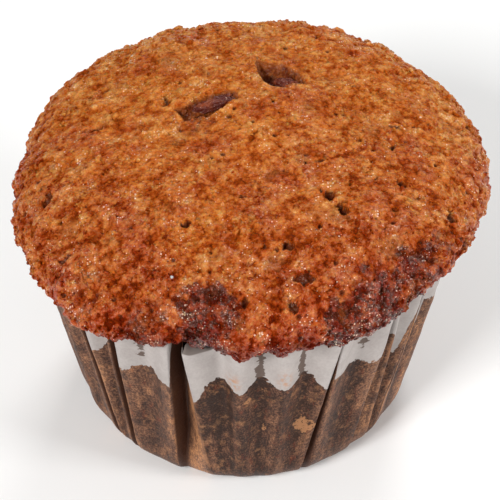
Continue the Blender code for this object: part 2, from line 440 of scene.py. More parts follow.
            # Towards its last edge the wall gets painted shade beside the pleat.
            edge_shade = panel.edge_shade * smooth_step(1.0 - self.dim_reach / width, 1.0, part)
            rows.append(np.stack((rim, floor, wave, zero, edge, zero, dry, fat, zero, edge_shade)))
            rows.append(self._pleat(panel, panels[(index + 1) % len(panels)], index + 1 == len(panels)))
        table = np.concatenate(rows, axis=1)
        names = ("rim", "floor", "wave", "sink", "crease", "fold", "dry", "fat", "lit", "edge_shade")
        return dict(zip(names, table))

    def _pleat(self, panel: Panel, following: Panel, wraps: bool) -> np.ndarray:
        """Work out the columns of a pleat, without its panels' own edges.

        Its near side goes down from the first panel and its far side comes up to the second. Both
        are soaked up to the rim, but for a far side that light reaches all the way up.

        Args:
            panel: The panel before the pleat.
            following: The panel after it.
            wraps: True where the second panel is the first of the whole turn.

        Returns:
            The same rows as a panel's in columns(), shape (10, columns).
        """
        turn = 360.0 if wraps else 0.0
        steps = self.pleat_steps
        down = np.arange(1, steps + 1) / steps
        up = np.arange(steps - 1, 0, -1) / steps
        share = np.concatenate((down, up))
        first = np.concatenate((np.ones(steps), np.zeros(steps - 1)))
        rim_deep = panel.rim_end + panel.rim_lean * (following.rim_start + turn - panel.rim_end)
        floor_deep = panel.floor_end + panel.floor_lean * (following.floor_start + turn - panel.floor_end)
        rim_edge = np.where(first == 1.0, panel.rim_end, following.rim_start + turn)
        floor_edge = np.where(first == 1.0, panel.floor_end, following.floor_start + turn)
        rim = rim_edge + share * (rim_deep - rim_edge)
        floor = floor_edge + share * (floor_deep - floor_edge)
        dry_edge = np.where(first == 1.0, panel.dry_end, following.dry_start)
        soaked = np.minimum(1.0, 4.0 * share) * ((first == 1.0) | (panel.lit < self.height))
        dry = dry_edge + soaked * (self.height + 3.0 - dry_edge)
        crease = np.zeros_like(share)
        # A pleat's far side is painted lighter by taking the flank light off the next panel's fat.
        fat = np.where(first == 1.0, panel.fat, following.fat - panel.flank_light)
        lit = panel.lit * (1.0 - first)
        sink = share * panel.pleat_depth
        return np.stack((rim, floor, 1.0 - share, sink, crease, share, dry, fat, lit, crease))

    def wall_radius(self, height: np.ndarray) -> np.ndarray:
        """Mean outer radius in mm at a height: a straight flare, rounded in at the heel by a quarter turn."""
        left = np.clip(1.0 - height / self.heel_height, 0.0, 1.0)
        return self.foot_radius + self.flare * height - self.heel_tuck * (1.0 - np.sqrt(1.0 - left * left))

    def surface(self, columns: Arrays, height: np.ndarray) -> tuple[np.ndarray, np.ndarray]:
        """Radius and azimuth of the wall for every height and column.

        The radius is the mean wall, plus the flute's wave growing with height, less the pleat's sink.
        The azimuth leans evenly from the floor's value to the rim's.

        Args:
            columns: What columns() gives.
            height: Heights in mm, shape (rows,).

        Returns:
            Radius in mm and azimuth in radians, both of shape (rows, columns).
        """
        share = (height / self.height)[:, None]
        flute = columns["wave"] * self.flute_depth * share**self.flute_growth
        pleat = columns["sink"] * np.minimum(1.0, share / self.pleat_fade) ** self.pleat_growth
        radius = self.wall_radius(height)[:, None] + flute - pleat
        azimuth = np.radians(columns["floor"] + share * (columns["rim"] - columns["floor"]))
        return radius, azimuth

    def inner_radius(self, azimuth: np.ndarray, height: float, gap: float) -> np.ndarray:
        """Radius just inside the wall at a height: the least of the wall's radii nearby, less a gap.

        Args:
            azimuth: Azimuths in degrees.
            height: Height in mm.
            gap: Room to the wall's outer face in mm.

        Returns:
            Radius in mm.
        """
        radius, turned = self.surface(self.columns(), np.array([height]))
        near = np.stack([
            np.interp(azimuth + step, np.degrees(turned[0]), radius[0], period=360.0)
            for step in np.linspace(-3.0, 3.0, 13)
        ])
        return near.min(axis=0) - gap

    def rim_radius(self, azimuth: np.ndarray, spans_pleats: bool) -> np.ndarray:
        """Outer radius of the rim at any azimuth in degrees.

        Args:
            azimuth: Azimuths in degrees.
            spans_pleats: True to bridge the pleats, as the cake's lip does.

        Returns:
            Radius in mm.
        """
        columns = self.columns()
        if spans_pleats:
            columns = {**columns, "sink": np.zeros_like(columns["sink"])}
            columns["wave"] = np.where(columns["fold"] > 0.0, 1.0, columns["wave"])
        radius, _ = self.surface(columns, np.array([self.height]))
        return np.interp(azimuth, columns["rim"], radius[0], period=360.0)


@dataclass(frozen=True)
class Lobe:
    """A place along the crown's lip that hangs lower (drop) or bulges out (push); negative ones draw back."""

    azimuth: float
    drop: float
    spread: float
    push: float = 0.0


@dataclass(frozen=True)
class Hollow:
    """A long rounded hollow in the crown, with its middle, half sizes, depth and turn in degrees."""

    x: float
    y: float
    half_length: float
    half_width: float
    depth: float
    turn: float

    def reach(self, x: np.ndarray, y: np.ndarray) -> np.ndarray:
        """Distance from the middle in half sizes, along the turned ellipse's own two axes.

        Args:
            x: X of each place in mm.
            y: Y of each place in mm.

        Returns:
            The distance, 1 on the edge of the ellipse.
        """
        angle = math.radians(self.turn)
        along = (x - self.x) * math.cos(angle) + (y - self.y) * math.sin(angle)
        across = (y - self.y) * math.cos(angle) - (x - self.x) * math.sin(angle)
        return np.hypot(along / self.half_length, across / self.half_width)


@dataclass(frozen=True)
class Gash:
    """A hollow with straight sides: its corners clockwise from above, each side's width, and its depth.

    Side n runs from corner n to the next, and its wall slopes over its own width in mm.
    """

    corners: tuple[tuple[float, float], ...]
    widths: tuple[float, ...]
    depth: float

    def sunk(self, x: np.ndarray, y: np.ndarray) -> np.ndarray:
        """Share of the depth at a place: the least of the sides' smooth rises, each from its own line.

        Args:
            x: X of each place in mm.
            y: Y of each place in mm.

        Returns:
            The share, 0 outside and 1 on the bottom.
        """
        least = np.ones_like(x)
        for index, width in enumerate(self.widths):
            start = self.corners[index]
            end = self.corners[(index + 1) % len(self.corners)]
            run = math.hypot(end[0] - start[0], end[1] - start[1])
            across = ((x - start[0]) * (end[1] - start[1]) - (y - start[1]) * (end[0] - start[0])) / run
            least = np.minimum(least, smooth_step(-0.15, width, across))
        return least


@dataclass(frozen=True)
class Patch:
    """A dark caramelised place on the crust, with its middle, radius and strength."""

    x: float
    y: float
    radius: float
    strength: float


@dataclass(frozen=True)
class CrownForm:
    """The crown: a smooth dome and rounded lip like the solid's, with all the crust's relief on it."""

    case: CaseForm
    centre: tuple[float, float]
    radius: float = 40.0
    equator: float = 45.1
    rise: float = 12.3
    tilt: float = 1.1
    outline_waves: Waves = ((2, 0.9, 0.3), (3, 0.4, 0.2), (4, -0.6, 0.3))
    height_waves: Waves = ((2, -0.8, -0.6), (3, -0.6, -0.3))
    hump_height: float = 0.35
    lip_start: float = 0.852
    under_start: float = 0.955
    under_reach: float = 1.6
    cover_room: float = 0.35
    sink: float = 0.22
    lump_size: float = 9.0
    lump_height: float = 0.34
    knob_size: float = 3.8
    knob_height: float = 0.36
    grain_sizes: tuple[float, float, float] = (2.1, 1.15, 0.62)
    pore_size: float = 2.6
    pore_depth: float = 0.75
    crack_depth: float = 0.25
    patch_depth: float = 0.3
    lobes: tuple[Lobe, ...] = (
        Lobe(-62.0, 0.0, 5.0, -0.8),
        Lobe(-48.0, -1.0, 1.6, -0.6),
        Lobe(-43.5, 1.6, 3.4, 0.3),
        Lobe(-40.0, 0.4, 3.0, 0.3),
        Lobe(-29.0, -0.9, 5.0, -1.0),
        Lobe(-20.0, -1.6, 3.2, -1.8),
        Lobe(-15.0, -2.5, 3.6, -3.0),
        Lobe(-9.5, -1.8, 2.6, -1.2),
        Lobe(-1.0, -0.3, 3.0, 0.2),
        Lobe(4.0, -1.3, 2.8),
        Lobe(9.3, 0.5, 1.8, 0.2),
        Lobe(12.6, -1.8, 2.6, -0.5),
        Lobe(26.5, -0.2, 2.5, -0.4),
        Lobe(33.0, 0.4, 3.0, 0.2),
        Lobe(39.0, 0.1, 3.5, -0.4),
        Lobe(45.5, -1.4, 5.0, -1.2),
        Lobe(54.0, -1.3, 4.5, -0.4),
        Lobe(62.5, -0.6, 4.0, -1.1),
        Lobe(72.0, 0.0, 12.0, -0.9),
        Lobe(92.0, 0.0, 6.0, -0.7),
        Lobe(104.0, 0.0, 4.0, -0.6),
        Lobe(110.0, 0.9, 9.0),
        Lobe(138.0, 0.0, 16.0, -0.9),
        Lobe(160.0, -0.8, 6.0),
        Lobe(195.0, -0.3, 5.0, -0.7),
        Lobe(205.0, 1.2, 10.0),
        Lobe(250.0, 0.8, 7.0),
    )
    craters: tuple[Gash, ...] = (
        Gash(((-0.2, 21.4), (6.0, 19.6), (10.4, 14.0), (3.0, 12.4), (0.6, 15.6)),
             widths=(2.6, 2.8, 0.6, 0.9, 1.4), depth=3.4),
        Gash(((-13.4, 8.6), (-9.4, 10.0), (-8.6, 6.0), (-11.6, 4.6)),
             widths=(1.5, 1.2, 0.8, 0.9), depth=1.9),
        Gash(((-10.6, 9.8), (-6.6, 11.6), (-3.0, 11.4), (-2.8, 9.0), (-6.4, 5.6), (-10.0, 4.6)),
             widths=(1.2, 1.0, 0.8, 0.7, 0.8, 1.0), depth=1.2),
    )
    holes: tuple[Hollow, ...] = (
        Hollow(-26.4, 5.9, 1.1, 0.7, 1.5, 30.0),
        Hollow(-34.3, -7.9, 1.2, 0.7, 1.4, 80.0),
        Hollow(-14.6, 11.0, 1.5, 0.5, 1.2, 100.0),
        Hollow(-10.8, -18.7, 0.9, 0.7, 1.8, 10.0),
        Hollow(-28.4, 15.2, 1.0, 0.6, 1.4, 40.0),
        Hollow(15.1, 6.2, 1.3, 0.5, 1.3, -20.0),
        Hollow(24.9, -9.0, 0.9, 0.8, 2.0, 90.0),
        Hollow(12.6, -13.4, 1.2, 0.7, 2.0, -50.0),
        Hollow(14.6, -16.6, 1.3, 0.7, 1.8, -60.0),
        Hollow(32.9, -13.1, 0.9, 0.7, 1.8, 90.0),
        Hollow(35.4, -15.8, 1.6, 0.6, 1.6, 80.0),
        Hollow(5.8, -23.7, 1.1, 0.8, 2.2, 20.0),
        Hollow(-1.3, -33.4, 1.0, 0.7, 1.8, 60.0),
        Hollow(6.6, -34.4, 1.0, 0.6, 1.6, -40.0),
        Hollow(8.4, -29.9, 1.9, 1.0, 1.6, 8.0),
        Hollow(-30.8, -20.7, 0.9, 0.6, 1.4, 0.0),
        Hollow(24.2, 5.0, 1.0, 0.5, 1.3, 0.0),
        Hollow(-1.5, -13.4, 0.7, 0.5, 1.3, 30.0),
        Hollow(11.2, -5.6, 0.8, 0.4, 1.2, 10.0),
        Hollow(23.5, 0.0, 0.8, 0.5, 1.3, 60.0),
    )
    patches: tuple[Patch, ...] = (
        Patch(-7.4, -33.6, 5.8, 1.0),
        Patch(15.0, -35.0, 4.0, 0.8),
        Patch(20.5, -31.5, 5.4, 1.0),
        Patch(27.2, -24.6, 5.0, 0.65),
        Patch(31.5, -19.5, 3.0, 0.4),
        Patch(-27.5, -27.5, 3.6, 0.4),
        Patch(-17.0, -34.5, 5.0, 0.45),
        Patch(-9.6, 5.0, 4.4, 0.4),
        Patch(4.8, 15.0, 5.0, 0.3),
    )

    def _waves(self, waves: Waves, angle: np.ndarray) -> np.ndarray:
        """Sum of cosine and sine waves round the crown."""
        return sum(c * np.cos(n * angle) + s * np.sin(n * angle) for n, c, s in waves)

    def dome(self, angle: np.ndarray, climb: np.ndarray) -> np.ndarray:
        """Points of the smooth dome, the same formula as the solid's.

        The radius is the uneven outline times cos(climb). The height is the equator plus the rise
        times sin(climb), plus a tilt and slow waves that fade towards the middle, plus broad humps.

        Args:
            angle: Angle from +X in radians.
            climb: 0 at the equator and a quarter turn at the top.

        Returns:
            Points in mm, shape (n, 3).
        """
        reach = np.cos(climb)
        radius = (self.radius + self._waves(self.outline_waves, angle)) * reach
        x = radius * np.cos(angle)
        y = radius * np.sin(angle)
        edge = self.tilt * np.cos(angle) + self._waves(self.height_waves, angle)
        first = np.sin(x / 6.1 + 1.3) * np.cos(y / 7.3 - 0.4)
        second = 0.6 * np.sin((x + 1.7 * y) / 9.4) + 0.5 * np.cos((1.4 * x - y) / 8.2 + 0.8)
        height = self.equator + self.rise * np.sin(climb) + reach * edge
        height = height + np.sin(climb) * self.hump_height * (first + second)
        return np.stack((x - self.centre[0], y - self.centre[1], height), axis=1)

    def lip_moves(self, azimuth: np.ndarray) -> tuple[np.ndarray, np.ndarray]:
        """How far the lip hangs down and bulges out: two small waves, and a bell curve for each lobe.

        Args:
            azimuth: Azimuths in degrees.

        Returns:
            Drop and push in mm.
        """
        drop = 0.25 * np.sin(np.radians(azimuth) * 17.0) + 0.2 * np.sin(np.radians(azimuth) * 29.0 + 1.0)
        push = 0.15 * np.sin(np.radians(azimuth) * 23.0 + 2.0)
        for lobe in self.lobes:
            away = (azimuth - lobe.azimuth + 180.0) % 360.0 - 180.0
            bell = np.exp(-((away / lobe.spread) ** 2))
            drop = drop + lobe.drop * bell
            push = push + lobe.push * bell
        return drop, push

    def _cover(self, angle: np.ndarray, inset: float, lift: float) -> np.ndarray:
        """Ring of the lip over the case's rim, wider where the lip hangs and closer where it draws back.

        Args:
            angle: Angle from +X in radians.
            inset: How far the ring is moved in, in mm.
            lift: How far it is moved up, in mm, and more where the lip hangs low.

        Returns:
            Points in mm, shape (n, 3).
        """
        azimuth = np.degrees(angle) + 90.0
        drop, _ = self.lip_moves(azimuth)
        hang = np.maximum(drop, 0.0)
        lift_off = np.minimum(drop, 0.0)
        reach = self.cover_room + 0.25 * hang + 0.5 * lift_off - inset
        radius = self.case.rim_radius(azimuth, True) + reach
        height = self.case.height + 0.2 - drop + lift * (1.0 + hang) + lift_off * (lift > 0.0)
        return round_axis(self.case.centre_x, radius, np.radians(azimuth), height)

    def _edged(self, points: np.ndarray, angle: np.ndarray, share: np.ndarray) -> np.ndarray:
        """Move dome points by the lobes: all of the push and 0.4 of the drop, times the share.

        Args:
            points: Points in mm, shape (n, 3).
            angle: Angle from +X in radians.
            share: How much of the move each point makes.

        Returns:
            The moved points in mm.
        """
        drop, push = self.lip_moves(np.degrees(angle) + 90.0)
        moves = np.stack((push * np.cos(angle), push * np.sin(angle), -0.4 * drop), axis=1)
        return points + moves * share[:, None]

    def base(self, run: np.ndarray, angle: np.ndarray) -> np.ndarray:
        """Points of the smooth crust along one run from the top to the underside of the lip.

        Up to lip_start the run follows the dome by arc length. Then it follows the rounded lip, whose
        inward step is a sine and whose fall is even, down to the ring that covers the case's rim. The
        rest turns in under the lip.

        Args:
            run: 0 at the top and 1 at the inner edge of the underside.
            angle: Angle from +X in radians.

        Returns:
            Points in mm, shape (n, 3).
        """
        climbs = np.linspace(0.5 * math.pi, 0.0, 400)
        steps = np.hypot(np.diff(self.radius * np.cos(climbs)), np.diff(self.rise * np.sin(climbs)))
        arc = np.concatenate(([0.0], np.cumsum(steps)))
        climb = np.interp(np.clip(run / self.lip_start, 0.0, 1.0) * arc[-1], arc, climbs)
        points = self._edged(self.dome(angle, climb), angle, smooth_step(0.5, 1.0, run / self.lip_start))
        cover = self._cover(angle, 0.0, 0.0)
        equator = self._edged(self.dome(angle, np.zeros_like(angle)), angle, np.ones_like(angle))
        fall = np.clip((run - self.lip_start) / (self.under_start - self.lip_start), 0.0, 1.0)
        keep = (1.0 - fall)[:, None]
        bulge = np.sin(0.5 * math.pi * keep)
        lip = cover + keep * (equator - cover)
        lip[:, :2] = (cover + bulge * (equator - cover))[:, :2]
        points = np.where((run > self.lip_start)[:, None], lip, points)
        under = np.clip((run - self.under_start) / (1.0 - self.under_start), 0.0, 1.0)[:, None]
        inner = self._cover(angle, self.under_reach, 0.5)
        below = cover + under * (inner - cover)
        return np.where((run > self.under_start)[:, None], below, points)

    def normals(self, run: np.ndarray, angle: np.ndarray) -> np.ndarray:
        """Outward unit normals of the smooth crust, from small steps along its two directions.

        Args:
            run: 0 at the top and 1 at the inner edge of the underside.
            angle: Angle from +X in radians.

        Returns:
            Unit vectors, shape (n, 3).
        """
        safe = np.clip(run, 0.006, 0.995)
        along = self.base(safe + 0.002, angle) - self.base(safe - 0.002, angle)
        around = self.base(safe, angle + 0.004) - self.base(safe, angle - 0.004)
        return unit(np.cross(along, around))

    def relief(self, points: np.ndarray, run: np.ndarray) -> Arrays:
        """Work out the crust's relief and the masks that colour it.

        The relief is the sum of broad lumps (layered noise), three sizes of rounded grains (a number
        less the distance to scattered seeds), thin fissures (where a noise crosses zero), and, as
        cuts, the craters, holes and pinholes, whose edges are bent by noise.

        Args:
            points: Points of the smooth crust in mm, shape (n, 3).
            run: Their run from the top, 0 to 1.

        Returns:
            "height": displacement in mm; "cavity": how much painted shade a place gets, 1 deep in a
            hole; "brown": how far it is baked, and towards the front rim also painted shade; "patch":
            caramelised places; "high": 0 between the grains and 1 on their tops, for painted crevice shade
            and painted light on the tops; "wet": the craters' juicy walls.
        """
        bend = np.stack([soft_noise(points, 1.3, seed) for seed in (201, 202, 203)], axis=1)
        bent = points + 0.45 * bend
        lumps = self.lump_height * layered_noise(points, self.lump_size, 2, 1)
        lumps = lumps + self.knob_height * layered_noise(points, self.knob_size, 2, 5)
        coarse, coarse_tone = cell_noise(bent, self.grain_sizes[0], 9)
        middle, middle_tone = cell_noise(bent, self.grain_sizes[1], 17)
        fine, _ = cell_noise(points, self.grain_sizes[2], 29)
        rough = 0.65 + 0.35 * layered_noise(points, 7.0, 2, 61)
        toward_rim = smooth_step(0.45, 0.95, run)
        grains = (0.3 + 0.7 * toward_rim) * (0.75 - coarse) * (0.5 + coarse_tone)
        grains = grains + (0.42 + 0.38 * toward_rim) * (0.62 - middle) * (0.4 + middle_tone) * rough
        grains = grains + (0.16 + 0.1 * toward_rim) * (0.6 - fine)
        crack = np.abs(layered_noise(points, 6.5, 2, 71))
        fissure = smooth_step(0.07, 0.0, crack) * smooth_step(0.1, 0.45, soft_noise(points, 8.0, 75))
        height = lumps + grains - self.crack_depth * fissure - self.sink
        # cavity is painted shade: in fissures and the gaps between coarse grains near the rim, then in
        # pinholes, holes and craters below.
        cavity = np.maximum(0.3 * fissure, 0.6 * toward_rim * smooth_step(0.72, 0.95, coarse))
        pit, pit_tone = cell_noise(points, self.pore_size, 83)
        pit_reach = pit * self.pore_size / (0.2 + 0.5 * pit_tone)
        pinhole = smooth_step(1.0, 0.4, pit_reach) * (pit_tone > 0.3)
        height = height - self.pore_depth * pinhole
        cavity = np.maximum(cavity, 0.9 * pinhole)
        chipped = bent + 0.35 * np.stack([soft_noise(points, 0.7, seed) for seed in (221, 222, 223)], axis=1)
        for hole in self.holes:
            sunk = smooth_step(1.15, 0.75, hole.reach(chipped[:, 0], chipped[:, 1]))
            height = height - 0.8 * hole.depth * sunk
            cavity = np.maximum(cavity, smooth_step(0.1, 0.6, sunk))
        hollowed = np.zeros(len(points))
        ragged = bent + 0.8 * np.stack([soft_noise(points, 2.3, seed) for seed in (211, 212, 213)], axis=1)
        for crater in self.craters:
            sunk = crater.sunk(ragged[:, 0], ragged[:, 1])
            hollowed = np.maximum(hollowed, crater.depth * sunk)
        cavity = np.maximum(cavity, 0.6 * smooth_step(1.6, 3.2, hollowed))
        height = height * (1.0 - 0.5 * smooth_step(0.2, 1.5, hollowed)) - hollowed
        patch = np.zeros(len(points))
        for place in self.patches:
            away = np.linalg.norm(bent[:, :2] + 1.2 * bend[:, :2] - (place.x, place.y), axis=1)
            patch = np.maximum(patch, place.strength * smooth_step(1.15, 0.5, away / place.radius))
        patch = np.clip(patch * (0.9 + 0.5 * layered_noise(points, 2.4, 2, 91)), 0.0, 1.0)
        height = height - self.patch_depth * patch
        # Towards the front and along the front rim, brown is partly deeper baking and partly painted shade
        # under the lip's bulge.
        brown = 0.2 + 0.3 * smooth_step(0.4, 1.0, run) - 0.38 * points[:, 1] / self.radius
        brown = brown + 0.16 * layered_noise(points, 8.0, 3, 95)
        front = smooth_step(-14.0, -30.0, points[:, 1]) * smooth_step(-33.0, -20.0, points[:, 0])
        brown = brown + 0.5 * smooth_step(0.76, 0.92, run) * front
        fade = smooth_step(1.0, self.under_start - 0.01, run)
        drop, _ = self.lip_moves(np.degrees(np.arctan2(points[:, 0], -points[:, 1])))
        # The lip's underside gets painted shade through cavity, less where the lip is drawn up.
        exposed = 0.6 * smooth_step(-0.8, -2.2, drop)
        under = smooth_step(self.under_start, self.under_start + 0.015, run) * (1.0 - exposed)
        return {
            "height": height * (0.15 + 0.85 * fade),
            "cavity": np.maximum(cavity, under),
            "brown": np.clip(brown, 0.0, 1.3),
            "patch": patch,
            "high": smooth_step(-0.25, 0.4, grains),
            "wet": smooth_step(0.02, 0.9, hollowed),
        }

    def crust_point(self, run: np.ndarray, angle: np.ndarray) -> tuple[np.ndarray, np.ndarray, Arrays]:
        """Move the smooth crust along its normals by the relief.

        Args:
            run: 0 at the top and 1 at the inner edge of the underside.
            angle: Angle from +X in radians.

        Returns:
            Points of the finished crust, the smooth crust's normals there, and the relief's masks.
        """
        base = self.base(run, angle)
        normal = self.normals(run, angle)
        relief = self.relief(base, run)
        return base + normal * relief["height"][:, None], normal, relief


# ---------------------------------------------------------------------------------------------
# Finishes
# ---------------------------------------------------------------------------------------------

Colour = tuple[float, float, float, float]
Socket = bpy.types.NodeSocket
Noises = tuple[Socket, Socket, Socket]
Plug = "Socket | float | Colour"


class Sheet:
    """A sheet of shader nodes: adds them, joins them and hands back the sockets that they put out."""

    def __init__(self, tree: bpy.types.NodeTree) -> None:
        """Start on an existing node tree."""
        self.tree = tree

    def add(self, kind: str, inputs: dict[str, Plug] | None = None, **settings: object) -> bpy.types.Node:
        """Add one node.

        Args:
            kind: Blender's name of the node type.
            inputs: What feeds its inputs, by name: a socket, or a plain value.
            settings: Properties of the node.

        Returns:
            The new node.
        """
        node = self.tree.nodes.new(kind)
        for name, value in settings.items():
            setattr(node, name, value)
        for name, value in (inputs or {}).items():
            self.feed(node.inputs[name], value)
        return node

    def feed(self, target: Socket, value: Plug) -> None:
        """Join a socket to an input, or set the input's own value."""
        if isinstance(value, bpy.types.NodeSocket):
            self.tree.links.new(value, target)
        else:
            target.default_value = value

    def place(self) -> Socket:
        """Put out the object's own coordinates, in metres."""
        return self.add("ShaderNodeTexCoord").outputs["Object"]

    def value(self, name: str) -> Socket:
        """Put out a mesh attribute as a number."""
        return self.add("ShaderNodeAttribute", attribute_name=name).outputs["Fac"]

    def vector(self, name: str) -> Socket:
        """Put out a mesh attribute as coordinates."""
        return self.add("ShaderNodeAttribute", attribute_name=name).outputs["Vector"]

    def stretch(self, vector: Socket, scale: tuple[float, float, float]) -> Socket:
        """Scale coordinates along each axis."""
        return self.add("ShaderNodeMapping", {"Vector": vector, "Scale": scale}).outputs["Vector"]

    def noise(self, vector: Socket, size: Plug, detail: float = 2.0, rough: float = 0.5) -> Socket:
        """Put out noise from 0 to 1, with blobs about size metres wide; a socket gives blobs per metre."""
        scale = 1.0 / size if isinstance(size, float) else size
        inputs = {"Vector": vector, "Scale": scale, "Detail": detail, "Roughness": rough}
        return self.add("ShaderNodeTexNoise", inputs).outputs["Fac"]

    def cells(self, vector: Socket, size: float) -> Socket:
        """Put out the distance to the nearest scattered seed, in seed spacings."""
        return self.add("ShaderNodeTexVoronoi", {"Vector": vector, "Scale": 1.0 / size}).outputs["Distance"]

    def grains(self, vector: Socket, size: float) -> tuple[Socket, Socket]:
        """Cut space into grains: put out the distance to each grain's middle and its own random tone."""
        node = self.add("ShaderNodeTexVoronoi", {"Vector": vector, "Scale": 1.0 / size})
        tone = self.add("ShaderNodeSeparateColor", {"Color": node.outputs["Color"]})
        return node.outputs["Distance"], tone.outputs["Red"]

    def warp(self, vector: Socket, size: float, amount: float) -> Socket:
        """Push coordinates about by noise: the noise's colour less a half, times twice the amount.

        Args:
            vector: Coordinates in metres.
            size: Width of the noise's blobs in metres.
            amount: How far a place is pushed along each axis at most, in metres.

        Returns:
            The pushed coordinates.
        """
        inputs = {"Vector": vector, "Scale": 1.0 / size, "Detail": 1.0}
        noise = self.add("ShaderNodeTexNoise", inputs).outputs["Color"]
        centred = self.add("ShaderNodeVectorMath", operation="SUBTRACT")
        self.feed(centred.inputs[0], noise)
        centred.inputs[1].default_value = (0.5, 0.5, 0.5)
        scaled = self.add("ShaderNodeVectorMath", operation="SCALE")
        self.feed(scaled.inputs[0], centred.outputs[0])
        scaled.inputs["Scale"].default_value = 2.0 * amount
        moved = self.add("ShaderNodeVectorMath", operation="ADD")
        self.feed(moved.inputs[0], vector)
        self.feed(moved.inputs[1], scaled.outputs[0])
        return moved.outputs[0]

    def span(self, value: Plug, low: float, high: float, to_low: float = 0.0, to_high: float = 1.0) -> Socket:
        """Map a range smoothly onto another range."""
        inputs = {"Value": value, "From Min": low, "From Max": high}
        inputs.update({"To Min": to_low, "To Max": to_high})
        node = self.add("ShaderNodeMapRange", inputs, interpolation_type="SMOOTHSTEP")
        return node.outputs["Result"]

    def sum(self, operation: str, first: Plug, second: Plug) -> Socket:
        """Work out one step of arithmetic."""
        node = self.add("ShaderNodeMath", operation=operation)
        self.feed(node.inputs[0], first)
        self.feed(node.inputs[1], second)
        return node.outputs[0]

    def mix(self, share: Plug, first: Plug, second: Plug, mode: str = "MIX") -> Socket:
        """Blend two colours."""
        node = self.add("ShaderNodeMix", data_type="RGBA", blend_type=mode, clamp_factor=True)
        self.feed(node.inputs["Factor"], share)
        self.feed(node.inputs[6], first)
        self.feed(node.inputs[7], second)
        return node.outputs[2]

    def ramp(self, value: Socket, stops: tuple[tuple[float, Colour], ...]) -> Socket:
        """Turn a number into a colour along a ramp of stops."""
        node = self.add("ShaderNodeValToRGB", {"Fac": value})
        node.color_ramp.elements[0].position = stops[0][0]
        node.color_ramp.elements[0].color = stops[0][1]
        node.color_ramp.elements[1].position = stops[-1][0]
        node.color_ramp.elements[1].color = stops[-1][1]
        for position, colour in stops[1:-1]:
            node.color_ramp.elements.new(position).color = colour
        return node.outputs["Color"]

    def bump(
        self, height: Socket, depth: float, strength: float = 1.0, normal: Socket | None = None
    ) -> Socket:
        """Tilt the normal by a height of depth metres, on top of an earlier bump if there is one."""
        node = self.add("ShaderNodeBump", {"Height": height, "Distance": depth, "Strength": strength})
        if normal is not None:
            self.feed(node.inputs["Normal"], normal)
        return node.outputs["Normal"]


class MottleGroup:
    """The mottling that crust, fruit and paper share: three noises, each a third of the last one's size."""

    name = "mottle"

    def __init__(self) -> None:
        """Build the node group once."""
        tree = bpy.data.node_groups.new(self.name, "ShaderNodeTree")
        tree.interface.new_socket("Vector", in_out="INPUT", socket_type="NodeSocketVector")
        tree.interface.new_socket("Scale", in_out="INPUT", socket_type="NodeSocketFloat")
        for output in ("Broad", "Middle", "Fine"):
            tree.interface.new_socket(output, in_out="OUTPUT", socket_type="NodeSocketFloat")
        sheet = Sheet(tree)
        start = sheet.add("NodeGroupInput")
        end = sheet.add("NodeGroupOutput")
        scale = start.outputs["Scale"]
        for step, output in enumerate(("Broad", "Middle", "Fine")):
            finer = sheet.sum("MULTIPLY", scale, 3.0**step)
            sheet.feed(end.inputs[output], sheet.noise(start.outputs["Vector"], finer, 3.0, 0.55))
        self.tree = tree

    def place(self, sheet: Sheet, vector: Socket, size: float) -> Noises:
        """Add the group to a material.

        Args:
            sheet: The material's sheet.
            vector: Coordinates in metres.
            size: Width of the broadest blobs in metres.

        Returns:
            The broad, middle and fine noise, each from 0 to 1.
        """
        node = sheet.add("ShaderNodeGroup", node_tree=self.tree)
        sheet.feed(node.inputs["Vector"], vector)
        sheet.feed(node.inputs["Scale"], 1.0 / size)
        return node.outputs["Broad"], node.outputs["Middle"], node.outputs["Fine"]


def new_material(name: str, shown: Colour) -> tuple[bpy.types.Material, Sheet, bpy.types.Node]:
    """Start a material with one Principled shader.

    Args:
        name: The material's name.
        shown: Its colour in a plain viewport.

    Returns:
        The material, its sheet of nodes and its shader.
    """
    material = bpy.data.materials.new(name)
    material.use_nodes = True
    material.diffuse_color = shown
    return material, Sheet(material.node_tree), material.node_tree.nodes["Principled BSDF"]


